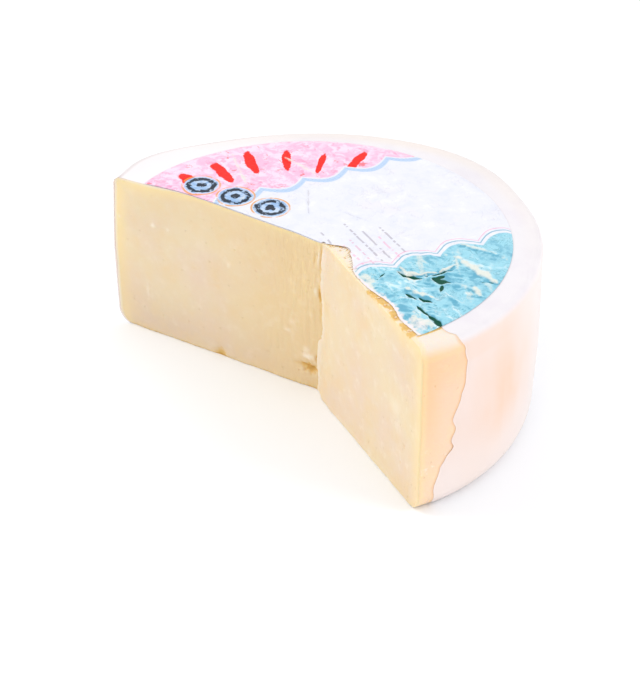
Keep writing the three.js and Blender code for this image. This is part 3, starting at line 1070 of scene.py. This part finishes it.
def film_material(look, wheel):
    g = Graph("clear shrink film", {
        "IOR": 1.48, "Specular IOR Level": 0.30, "Coat Roughness": 0.20, "Coat IOR": 1.4,
        "Sheen Weight": 0.15, "Sheen Roughness": 0.5,
    })
    at = g.fields(FILM_LAYERS)
    wheel_height = wheel.shape.height
    height = g.parts(g.coords)[2]
    clouds = g.noise(1.0, 2.0, 0.5, g.placed(scale=(17, 17, 9)))
    haze = g.noise(60, 3.0, 0.5)
    creases = g.noise(1.0, 3.0, 0.55, g.placed(scale=(90, 90, 22)), 0.8)
    streaks = g.noise(1.0, 2.0, 0.5, g.placed(scale=(150, 150, 7)))
    milk = g.step(clouds * 0.9 + haze * 0.1, 0.30, 0.62)
    glow = g.line(height, wheel_height - 9 * MM, 15 * MM) * g.step(at.far, 0.45, 0.0)
    top = g.step(height, wheel_height - 6 * MM, wheel_height - 1 * MM)
    hem = g.step(at.edge, 0.45, 0.85) * 0.6
    over_top = g.coats(
        look.top,
        (g.step(haze, 0.42, 0.66) * 0.6, look.top_shade),
        (at.back, look.top_back),
        (at.brim * (0.55 + clouds * 0.6), look.brim),
    )
    tint = g.coats(
        look.cling,
        (milk, look.milky),
        (at.warm * (0.45 + haze * 0.7 + clouds * 0.45), look.warm),
        (g.step(streaks, 0.46, 0.80) * 0.18, look.milky),
        # painted light: whiter film on the right-hand side of the rim, and low down
        (g.step(at.far, 0.0, 0.8) * 0.5 + g.step(at.far, 0.6, 1.0) * 0.3, look.far),
        (g.step(height, 0.048, 0.010) * 0.45, look.far),
        (glow * 0.24, look.warm),
        (top * 0.92, over_top),
        (g.most(hem, at.fin), look.edge),
        # painted shade line along the rim's top edge at the back
        (at.crease * (0.4 + haze * 0.6), look.line),
    )
    cover = g.least(0.80 + milk * 0.04 + top * 0.06 + hem * 0.20 - at.fin * 0.45, 0.98)
    g.relief(creases * 0.25 + haze * 0.3 + g.noise(520, 2.0) * 0.08 + at.loose * 0.2, 0.4 * MM, 0.30)
    return g.finish(
        Base_Color=tint, Alpha=cover, Roughness=0.34 + haze * 0.14, Coat_Weight=0.14 + clouds * 0.16,
    )


# ---------- label

FOLDS = (  # ends of each fold, along and across the right-hand cut, half width, height: below 0, a valley
    (42.2, 25.4, 48.2, 26, 1, 0.90), (48.2, 26, 53.2, 31.9, 1, 0.95), (53.2, 31.9, 54.6, 42, 0.9, 0.95),
    (54.6, 42, 52.2, 53.6, 0.9, 0.85), (44.9, 22.9, 51.3, 24.4, 1.2, -0.90),
    (51.3, 24.4, 55.6, 31.2, 1.2, -0.95), (55.8, 34.3, 55.2, 51.7, 0.7, -0.80),
    (42.2, 17, 46.5, 9.4, 0.7, -0.80), (59, 36.9, 66, 42.4, 3, -1.00), (59.5, 39.4, 58, 44.4, 1.5, -1.00),
    (67, 37.9, 72.5, 33.9, 1.3, -1.00), (73, 21.4, 80, 24.4, 1.3, -1.00), (66, 16.9, 73, 18.9, 1.1, -0.90),
    (79.5, 16.4, 92.5, 17.9, 1, -1.00), (90, 17.6, 102.5, 19.9, 1.9, -1.00),
    (72.5, 59.4, 77.5, 65.9, 0.7, -0.60), (46.5, 58.4, 76.5, 65.4, 3.4, 0.90),
    (35.5, 67.4, 51.5, 80.4, 1.8, 0.70), (63.5, 19.4, 75.5, 27.4, 2.4, 0.80),
    (73.5, 53.4, 84.5, 51.4, 2.4, 0.80), (88.5, 9.4, 99.5, 14.4, 3.4, 0.70),
    (-112.5, -4.6, -70.5, -14.6, 1.4, 0.70), (-94.5, 21.4, -70.5, 28.4, 1.6, 0.70),
    (-87.5, 45.4, -76.5, 44.4, 1.4, 0.50), (-61.5, -19.6, -56.5, -26.6, 1.4, 0.60),
    (-56.1, 17.3, -30.8, 5.3, 0.7, -0.75), (-27.5, 23.4, -10.5, 32.4, 0.8, -0.60),
)
LABEL_LAYERS = ("crest", "valley", "torn", "slope", "faded")


def fold_weight(along, across, fold):
    """1 on a fold's line, falling off to both sides and towards its ends."""
    x0, y0, x1, y1, width, height = fold
    from_x, from_y = along / MM - x0, across / MM - y0
    dx, dy = x1 - x0, y1 - y0
    nearest = clamp((from_x * dx + from_y * dy) / (dx * dx + dy * dy))
    wander = 0.8 * width * rough(along, across, 4 * MM, seed=height * 9)
    off = math.hypot(from_x - nearest * dx, from_y - nearest * dy) + wander
    taper = 0.45 + 0.55 * math.sin(math.pi * nearest)
    return bump(off, 0.0, width * taper)


def crumpling(along, across):
    """Height of the crumpled paper from about -1 to 1, with the crests and valleys of its folds."""
    worried = 0.10 + 0.90 * bump(math.hypot(along - 66 * MM, across - 24 * MM), 0.0, 46 * MM)
    crest = valley = 0.0
    for fold in FOLDS:
        fold_height = fold_weight(along, across, fold) * fold[-1]
        crest = max(crest, fold_height)
        valley = max(valley, -fold_height)
    bend_x = along + 3.5 * MM * rough(along, across, 11 * MM, seed=97)
    bend_y = across + 3.5 * MM * rough(along, across, 11 * MM, seed=99)
    ridges = sum(
        part * (1 - abs(rough(bend_x, bend_y, wide * MM, deep * MM, seed)) / 0.45)
        for part, wide, deep, seed in ((0.55, 19, 12, 101), (0.36, 10, 6.5, 107), (0.18, 4.4, 3.4, 113))
    )
    height = 0.35 + worried * (ridges - 0.45) + 0.6 * crest - 0.7 * valley
    rubbed = rough(bend_x, bend_y, 26 * MM, 7 * MM, 127) + 0.5 * rough(bend_x, bend_y, 9 * MM, 4 * MM, 129)
    worn = worried * smooth(0.22, 0.60, rubbed) * smooth(0.25, 0.75, ridges)
    return height, max(crest, worn), valley


def label_mesh(wheel, look, film, columns=290, rows=150):
    """The label: a grid laid from its torn edge round to the left-hand cut, and crumpled."""
    shape = wheel.shape
    top = shape.height + film.gap + film.thickness + look.thickness + 0.10 * MM
    centre = Vector((look.centre_x, look.centre_y))
    corner = wheel.corner(shape.height)
    bm = bmesh.new()
    grid(bm, columns, rows)
    layers = add_layers(bm, LABEL_LAYERS)

    def rim_run(heading):
        offset = corner - centre
        ahead = offset.dot(towards(heading))
        return math.sqrt(look.radius ** 2 - offset.length_squared + ahead ** 2) - ahead

    starts = {}
    for vert in bm.verts:
        column, row = vert.co.x, round(vert.co.y, 5)
        reach = 0.012 + 0.988 * row
        if row not in starts:
            run = reach * rim_run(wheel.right)
            starts[row] = torn_heading(wheel, run, lambda along: tear_depth(along, look.margin))
        start = starts[row]
        heading = start + (wheel.left - start) * crowded(column, 0.55)
        run = reach * rim_run(heading)
        from_tear = run * math.sin(min(heading - start, math.pi / 2))
        from_left = run * math.sin(min(wheel.left - heading, math.pi / 2))
        to_rim = rim_run(heading) - run
        point = Vector((
            wheel.axis.x + corner.x + run * math.cos(heading),
            wheel.axis.y + corner.y + run * math.sin(heading),
            top,
        ))
        along, across = wheel.flat(point)
        height, crest, valley = crumpling(along, across)
        # the slope is kept so that the facets can be painted lit and shaded: painted light and shade
        beside, _, _ = crumpling(along - 0.5 * MM, across + 0.5 * MM)
        slope = (height - beside) * look.crumple / (0.7 * MM)
        pinned = smooth(0.0, 5 * MM, from_tear) * smooth(0.0, 3 * MM, to_rim)
        height *= look.crumple * smooth(0.0, 3 * MM, from_left) * (0.04 + 0.96 * pinned)
        loose_edge = math.exp(-from_tear / (2.0 * MM)) * smooth(4 * MM, 10 * MM, run)
        height += 0.12 * MM * loose_edge * max(0.0, rough(along, 0, 7 * MM, seed=113))
        turn = heading - wheel.right
        bare = over_bare_rind(film, run * math.cos(turn), run * math.sin(turn))
        height = max(height, 0.0) - look.droop * bare
        height -= 0.07 * MM * (1 - smooth(0.5 * MM, 5 * MM, to_rim))
        depth_share = math.hypot(point.x - wheel.axis.x, point.y - wheel.axis.y) / shape.radius
        point.z += height - shape.sag * depth_share ** 2
        vert.co = point + wheel.heave(point.to_2d(), shape.height)
        fray = 0.35 + clamp(0.6 + 0.9 * rough(along, across, 2.6 * MM, seed=131))
        fray *= 0.5 + 0.8 * smooth(30 * MM, 52 * MM, along) + 0.6 * bump(along, 92 * MM, 9 * MM)
        faded = 0.85 * math.exp(-from_tear / (4.0 * MM)) * smooth(34 * MM, 50 * MM, along)
        lower_end = bump(along, 93 * MM, 12 * MM) * (1 - smooth(4 * MM, 14 * MM, from_tear))
        mark(
            vert, layers, crest=clamp(crest), valley=clamp(valley), slope=clamp(slope, -1.0, 1.0),
            faded=max(faded, 0.72 * lower_end),
            torn=math.exp(-from_tear / (fray * MM)) * smooth(3 * MM, 9 * MM, run),
        )
    give_thickness(bm, look.thickness, shape.height - MM)
    soften(bm, 55)
    return bm


def over_bare_rind(film, along, across):
    """1 where the label lies on bare cheese, 0 where it lies on the film."""
    edge = film.peel_at_corner + film.peel_slope * along
    return (1 - smooth(edge - 6 * MM, edge - 1.5 * MM, across)) * smooth(0.0, 4 * MM, along)


SCALLOP_PITCH, SCALLOP_DEPTH = 0.027, 0.0075  # of the scalloped edges of the rose and the aqua field
ROSE_EDGE, AQUA_EDGE = 0.0620, -0.0505  # where the two fields begin, from the label's centre
LEAF_DEGREES = 13.0  # from one red leaf to the next
BEAD_ROW = (math.cos(math.radians(30.4)), math.sin(math.radians(30.4)))  # square to the row of printed beads
BEAD_PITCH = 0.0235


def label_fields(g, look, wheel):
    """A place on the label in the label's own turned frame, and the noises that its prints share."""
    at = g.fields(LABEL_LAYERS)
    centre = (wheel.axis.x + look.centre_x, wheel.axis.y + look.centre_y, 0.0)
    turned = g.node(
        "ShaderNodeVectorRotate", {"rotation_type": "Z_AXIS"},
        {"Vector": g.vector_math("SUBTRACT", g.coords, centre), "Angle": -look.turn}, "Vector",
    )
    at.x, at.y, _ = g.parts(turned)
    lobes = g.math("ABSOLUTE", g.math("SINE", at.x * (math.pi / SCALLOP_PITCH))) * SCALLOP_DEPTH
    at.rose_edge = at.y + lobes
    at.aqua_edge = at.y - lobes
    at.aqua_field = 1 - g.step(at.aqua_edge, AQUA_EDGE, AQUA_EDGE + 0.7 * MM)
    at.mottle = g.noise(240, 4.0, 0.6)
    at.fine = g.noise(700, 4.0, 0.7)
    at.wash = g.noise(60, 3.0, 0.6)
    at.crackle = g.noise(150, 5.0, 0.62, distortion=0.9)
    at.smudge = g.noise(90, 4.0, 0.6, distortion=0.6)
    at.specks = g.noise(190, 4.0, 0.65, distortion=0.6)
    at.wrinkles = g.noise(1.0, 4.0, 0.6, g.placed(scale=(140, 90, 1)), 0.8)
    scuffs = g.noise(1.0, 4.0, 0.55, g.placed(turn=0.9, scale=(50, 24, 1)), 0.7)
    at.scuffed = scuffs + (at.mottle - 0.5) * 0.30
    return at


def rose_print(g, look, at):
    """The rose field's colour, and the mask of the red leaves that stand round it."""
    around = g.math("ARCTAN2", at.y, at.x) * (180 / math.pi / LEAF_DEGREES)
    pick = g.pick(around)
    radius = (at.x * at.x + at.y * at.y) ** 0.5
    outwards = (radius - 0.083 - pick * 0.008) / 0.0170
    wider = 1 + g.step(at.x, 0.02, -0.04) * 0.7
    sideways = (g.math("FRACT", around) - 0.5 + outwards * 0.10) / ((0.13 + pick * 0.07) * wider)
    ragged = (g.noise(150, 5.0, 0.65, distortion=0.5) - 0.5) * 1.3
    leaf = 1 - g.step(sideways * sideways + outwards * outwards + ragged, 0.50, 0.68)
    rose = g.coats(
        look.rose_pale,
        (g.step(at.crackle, 0.40, 0.60), look.rose),
        (g.step(at.smudge * 0.5 + at.mottle * 0.5, 0.52, 0.62) * 0.65, look.rose_deep),
        (g.step(at.specks, 0.63, 0.67) * 0.7, look.red),
        (g.step(at.crackle, 0.36, 0.28) * 0.6, look.paper),
        (leaf, look.red),
    )
    return rose, leaf


def aqua_print(g, look, at):
    """The aqua field's colour: its facets painted lit and shaded by the paper's slope and mottled, painted
    shade in its creases, its scuffs and faint ripples.
    """
    creased = g.noise(46, 5.0, 0.62, distortion=0.9)
    creases = g.line(creased, 0.5, 0.022) + g.line(creased, 0.42, 0.018) + g.line(creased, 0.58, 0.018)
    # painted light and shade of the facets from the slope, mixed with mottling
    lit = 0.5 + at.slope * 0.8 + (at.mottle - 0.5) * 0.9 + (at.smudge - 0.5) * 1.1 + (creased - 0.5) * 1.2
    ripples = g.line(g.math("FRACT", (at.y + g.math("SINE", at.x * 150) * 0.0016) * 95.0), 0.5, 0.16)
    return g.coats(
        look.aqua_deep,
        (g.step(lit, 0.05, 0.52), look.aqua),
        (g.step(lit, 0.54, 0.98), look.aqua_pale),
        # painted shade in the fine creases
        (creases * g.step(at.smudge, 0.40, 0.56) * 0.40, look.aqua_dark),
        (g.step(at.scuffed, 0.56, 0.68) * 0.75, look.worn),
        (g.step(at.fine, 0.56, 0.72) * 0.15, look.aqua_deep),
        (ripples * 0.14, look.aqua_deep),
    )


def dash_rows(g, at):
    """Mask of the rows of plain dashes, and a random number for each row."""
    rows = at.x * 190.0
    pick = g.pick(rows)
    end = 0.004 - pick * 0.022
    room = g.window(at.y, -0.041, -0.040, end, end + 2 * MM) * g.window(at.x, 0.006, 0.008, 0.040, 0.042)
    spot = {"X": g.math("FLOOR", rows) * 7.3, "Y": at.y * 360.0}
    place = g.node("ShaderNodeCombineXYZ", {}, spot, "Vector")
    dashes = g.step(g.noise(1.0, 0.0, 0.5, place), 0.43, 0.46)
    return g.line(g.math("FRACT", rows), 0.5, 0.24) * room * dashes, pick


def paper_print(g, look, at):
    """The bare paper, with painted light and shade for its faint wrinkles and slopes, and the rows of dashes.
    """
    quilt = g.noise(95, 4.0, 0.6, distortion=0.4)
    dashes, pick = dash_rows(g, at)
    return g.coats(
        look.paper,
        (g.step(quilt, 0.48, 0.68) * 0.55, look.paper_shade),
        (g.step(quilt, 0.46, 0.32) * 0.6, look.paper_lit),
        (g.step(at.wash, 0.52, 0.72) * 0.4, look.paper_warm),
        # painted shade on the slopes of the crumpled paper
        (g.step(at.slope, 0.05, 0.5) * 0.5, look.paper_shade),
        # painted shade along faint wrinkles
        (g.line(at.wrinkles, 0.5, 0.035) * g.step(at.wash, 0.44, 0.60) * 0.10, look.ink_and_crease_shade),
        (dashes * 0.42, g.mix(g.step(pick, 0.78, 0.8), look.ink_and_crease_shade, look.rose_deep)),
    )


def bead_print(g, look, at):
    """The printed beads beside the left-hand cut: their mask, dark rings, colour and thin halo."""
    along_row = at.x * -BEAD_ROW[1] + at.y * BEAD_ROW[0]
    off_row = at.x * BEAD_ROW[0] + at.y * BEAD_ROW[1] - 0.0150
    from_middle = (g.math("FRACT", along_row / BEAD_PITCH) - 0.5) * BEAD_PITCH
    radius = (from_middle * from_middle + off_row * off_row) ** 0.5
    in_row = g.window(along_row, BEAD_PITCH * 0.99, BEAD_PITCH, BEAD_PITCH * 4, BEAD_PITCH * 4.01)
    worn = (g.noise(170, 4.0, 0.65, distortion=0.5) - 0.5) * 0.0060
    bead = (1 - g.step(radius + worn * 0.3, 0.0096, 0.0101)) * in_row
    ring = g.line(radius + worn, 0.0072, 0.0030)
    pip = 1 - g.step(radius + worn, 0.0028, 0.0033)
    night = g.most(ring, pip) * (1 - g.step(at.specks, 0.54, 0.60) * 0.85)
    halo = g.line(radius, 0.0108, 0.0011) * in_row * g.step(at.smudge, 0.34, 0.50)
    sky = g.coats(
        look.sky,
        (g.step(at.crackle, 0.40, 0.60), look.sky_pale),
        (g.step(at.mottle, 0.55, 0.70) * 0.4, look.sky),
        (night * 0.95, look.night),
    )
    return bead, night, sky, halo


def label_material(look, wheel):
    g = Graph("printed paper label", {"IOR": 1.5, "Specular IOR Level": 0.10, "Coat Roughness": 0.28})
    at = label_fields(g, look, wheel)
    rose_field = g.step(at.rose_edge, ROSE_EDGE, ROSE_EDGE + 0.7 * MM)
    rose, leaf = rose_print(g, look, at)
    bead, night, sky, halo = bead_print(g, look, at)
    hatch = g.line(g.math("FRACT", (at.x * 1.6 + at.y) * 420.0 + at.smudge * 2.0), 0.5, 0.40)
    ribbon = g.mix(hatch * (0.35 + at.crackle * 0.8), look.sky_pale, look.sky)

    # partly worn print, partly painted highlight on the crests of the folds
    crest_highlight_and_wear = g.step(at.crest + (at.fine - 0.5) * 0.35 + (at.mottle - 0.5) * 0.5, 0.26, 0.84)
    # painted shade in the valleys of the folds: green on the aqua field, ink-coloured elsewhere
    deep = g.step(at.valley + (at.fine - 0.5) * 0.3, 0.30, 0.66)
    rubbed = at.faded + (at.scuffed - 0.5) * 1.6 + (at.mottle - 0.5) * 0.9
    rubbed_off = g.step(rubbed, 0.40, 0.86) * at.aqua_field
    torn_paper = g.step(at.torn + (g.noise(420, 3.0) - 0.5) * 0.7, 0.14, 0.46)
    print_colour = g.coats(
        paper_print(g, look, at),
        (rose_field, rose),
        (at.aqua_field, aqua_print(g, look, at)),
        (g.line(at.rose_edge, ROSE_EDGE - 3.0 * MM, 4.0 * MM), ribbon),
        (g.line(at.aqua_edge, AQUA_EDGE + 3.5 * MM, 1.0 * MM) * 0.8, look.aqua_deep),
        (g.line(at.aqua_edge, AQUA_EDGE + 6.0 * MM, 0.8 * MM) * 0.5, look.rose_deep),
        (bead, sky),
        (halo * 0.85, look.amber),
        (crest_highlight_and_wear * 0.92, look.worn),
        (deep * at.aqua_field, look.green),
        (deep * (1 - at.aqua_field) * 0.2, look.ink_and_crease_shade),
        (rubbed_off * 0.85, g.mix(g.step(at.smudge, 0.42, 0.60), look.worn, look.torn)),
        (torn_paper, g.mix(g.step(at.mottle, 0.42, 0.62), look.torn, look.paper_warm)),
    )
    dull = g.least(night * bead + leaf * rose_field * (1 - bead) + deep * at.aqua_field, 1.0)

    fibres = at.mottle * 0.5 + at.fine * 0.15 + at.wash * 0.8 + at.crackle * 0.4 + at.wrinkles * 0.5
    g.relief(fibres, 0.5 * MM, 0.5)
    return g.finish(
        Base_Color=print_colour, Roughness=0.34 + at.mottle * 0.18 + torn_paper * 0.3,
        Coat_Weight=(1 - dull * 0.9) * (1 - torn_paper),
    )


# ---------- crumbs

CRUMBS = (  # where each crumb lies, along and across the right-hand cut, and its size
    (4, 2.6, 0.8), (10, 5.4, 0.8), (18, 4.2, 0.7), (28, 2.2, 0.9), (62, 2.6, 0.9), (70, 2.4, 0.8),
    (83, 2.0, 0.9), (97, 2.6, 0.9), (100, 8.4, 0.7), (54, 1.2, 0.6),
)


def crumb_mesh(wheel):
    """Small torn flakes lying on the bare top beside the label's torn edge."""
    chance = random.Random(11)
    bm = bmesh.new()
    for number, (along, across, size) in enumerate(CRUMBS):
        place = wheel.top_corner + (wheel.along * along + wheel.across * across) * MM
        level = wheel.shape.height - wheel.sag(along * MM, wheel.shape.height) + 0.25 * MM * size
        turn = Matrix.Rotation(chance.uniform(0, math.tau), 4, "Z")
        flatten = Matrix.Diagonal((1.3, 0.9, 0.55, 1.0))
        matrix = Matrix.Translation((place.x, place.y, level)) @ turn @ flatten
        made = bmesh.ops.create_icosphere(bm, subdivisions=3, radius=0.75 * MM * size, matrix=matrix)
        for vert in made["verts"]:
            offset = vert.co - matrix.translation
            push = noise.noise(vert.co / (0.7 * MM) + Vector((number * 7.0, 0, 0)))
            vert.co = matrix.translation + offset * (1 + 0.45 * push)
    soften(bm, 60)
    return bm


# ---------- operators

class Maker:
    """What every operator here shares: it builds one piece and gives it to the frame."""

    bl_options = {"REGISTER"}

    def give(self, piece, slot, node=None):
        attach(piece, "root")
        if node:
            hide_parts(node)


class CHEESE_OT_paste(Maker, bpy.types.Operator):
    """Makes the cut wheel's paste and rind"""

    bl_idname = "cheese.paste"
    bl_label = "Paste and rind"

    def execute(self, context):
        scene = context.scene
        wheel = Wheel(scene.cheese_wheel)
        material = cheese_material(scene.cheese_paste, wheel)
        bm = cheese_mesh(wheel, scene.cheese_paste, scene.cheese_label, scene.cheese_film)
        self.give(to_object("paste_and_rind", bm, material), "cheese", "cheese")
        return {"FINISHED"}


class CHEESE_OT_film(Maker, bpy.types.Operator):
    """Makes the film over the top and the rim"""

    bl_idname = "cheese.film"
    bl_label = "Film"

    def execute(self, context):
        scene = context.scene
        wheel = Wheel(scene.cheese_wheel)
        material = film_material(scene.cheese_film, wheel)
        self.give(to_object("shrink_film", film_mesh(wheel, scene.cheese_film), material), "film", "film")
        return {"FINISHED"}


class CHEESE_OT_label(Maker, bpy.types.Operator):
    """Makes the crumpled paper label"""

    bl_idname = "cheese.label"
    bl_label = "Label"

    def execute(self, context):
        scene = context.scene
        wheel = Wheel(scene.cheese_wheel)
        material = label_material(scene.cheese_label, wheel)
        bm = label_mesh(wheel, scene.cheese_label, scene.cheese_film)
        self.give(to_object("paper_label", bm, material), "label", "label")
        return {"FINISHED"}


class CHEESE_OT_crumbs(Maker, bpy.types.Operator):
    """Makes the crumbs beside the torn label"""

    bl_idname = "cheese.crumbs"
    bl_label = "Crumbs"

    def execute(self, context):
        wheel = Wheel(context.scene.cheese_wheel)
        material = bpy.data.materials["kasseri paste and rind"]
        self.give(to_object("crumbs", crumb_mesh(wheel), material), "cheese")
        return {"FINISHED"}


CAMERA_AIM = (8.6, -29.9, 52.0)  # the point that the camera looks at, from the foot of the wheel's axis
LIGHTS = (  # name, place, and the property that holds its power
    ("key light", (-1.10, 0.30, 0.90), "key_light"),
    ("fill light", (1.20, -0.35, 0.90), "fill_light"),
)
LIGHT_SIZE = 0.9


class CHEESE_OT_stage(bpy.types.Operator):
    """Makes the floor, the lights and the camera"""

    bl_idname = "cheese.stage"
    bl_label = "Stage"

    def execute(self, context):
        scene = context.scene
        look = scene.cheese_stage
        self.floor(look)
        self.lights(scene, look)
        self.camera(scene, look)
        scene.view_settings.view_transform = "Standard"
        return {"FINISHED"}

    def floor(self, look):
        bm = bmesh.new()
        bmesh.ops.create_grid(bm, x_segments=2, y_segments=2, size=6.0)
        g = Graph("plain floor", {"Roughness": 0.9, "Specular IOR Level": 0.1})
        tone = g.mix(g.noise(3, 2.0) * 0.02, look.floor, (0.8, 0.8, 0.8))
        floor = to_object("floor", bm, g.finish(Base_Color=tone))

    def lights(self, scene, look):
        world = bpy.data.worlds.new("soft white")
        world.use_nodes = True
        background = world.node_tree.nodes["Background"]
        background.inputs["Color"].default_value = (1.0, 1.0, 1.0, 1.0)
        background.inputs["Strength"].default_value = look.world_light
        scene.world = world
        middle = Vector((0.0, 0.0, 50 * MM))
        for name, place, power in LIGHTS:
            lamp = bpy.data.lights.new(name, "AREA")
            lamp.shape = "DISK"
            lamp.size = LIGHT_SIZE
            lamp.energy = getattr(look, power)
            holder = bpy.data.objects.new(name, lamp)
            holder.location = place
            holder.rotation_euler = (middle - Vector(place)).to_track_quat("-Z", "Y").to_euler()
            scene.collection.objects.link(holder)

    def camera(self, scene, look):
        axis = Wheel(scene.cheese_wheel).axis
        x, y, height = CAMERA_AIM
        aim = Vector((axis.x + x * MM, axis.y + y * MM, height * MM))
        level = math.cos(look.elevation)
        back = Vector((
            -math.sin(look.azimuth) * level, -math.cos(look.azimuth) * level, math.sin(look.elevation),
        ))
        data = bpy.data.cameras.new("camera")
        data.lens = look.lens
        data.sensor_width = 36.0
        camera = bpy.data.objects.new("camera", data)
        scene.collection.objects.link(camera)
        camera.location = aim + back * look.distance
        aimed = (-back).to_track_quat("-Z", "Y").to_matrix().to_4x4()
        turned = aimed @ Matrix.Rotation(look.roll, 4, "Z")
        camera.rotation_euler = turned.to_euler()
        scene.camera = camera


class CHEESE_PT_panel(bpy.types.Panel):
    """Lists the pieces of the cut wheel"""

    bl_idname = "CHEESE_PT_panel"
    bl_label = "Cut cheese wheel"
    bl_space_type = "VIEW_3D"
    bl_region_type = "UI"
    bl_category = "Cheese"

    def draw(self, context):
        for operator in OPERATORS:
            self.layout.operator(operator.bl_idname)
        for name in GROUPS:
            box = self.layout.box()
            group = getattr(context.scene, name)
            for key in group.__annotations__:
                box.prop(group, key)


OPERATORS = (CHEESE_OT_paste, CHEESE_OT_film, CHEESE_OT_label, CHEESE_OT_crumbs, CHEESE_OT_stage)
GROUPS = {
    "cheese_wheel": WheelShape,
    "cheese_paste": PasteLook,
    "cheese_film": FilmLook,
    "cheese_label": LabelLook,
    "cheese_stage": StageLook,
}


def register():
    for cls in (*GROUPS.values(), *OPERATORS, CHEESE_PT_panel):
        bpy.utils.register_class(cls)
    for name, group in GROUPS.items():
        setattr(bpy.types.Scene, name, PointerProperty(type=group))


def unregister():
    for name in GROUPS:
        delattr(bpy.types.Scene, name)
    for cls in (CHEESE_PT_panel, *reversed(OPERATORS), *reversed(GROUPS.values())):
        bpy.utils.unregister_class(cls)


def main():
    register()
    bpy.ops.cheese.paste()
    bpy.ops.cheese.film()
    bpy.ops.cheese.label()
    bpy.ops.cheese.crumbs()
    bpy.ops.cheese.stage()


if __name__ == "__main__":
    main()
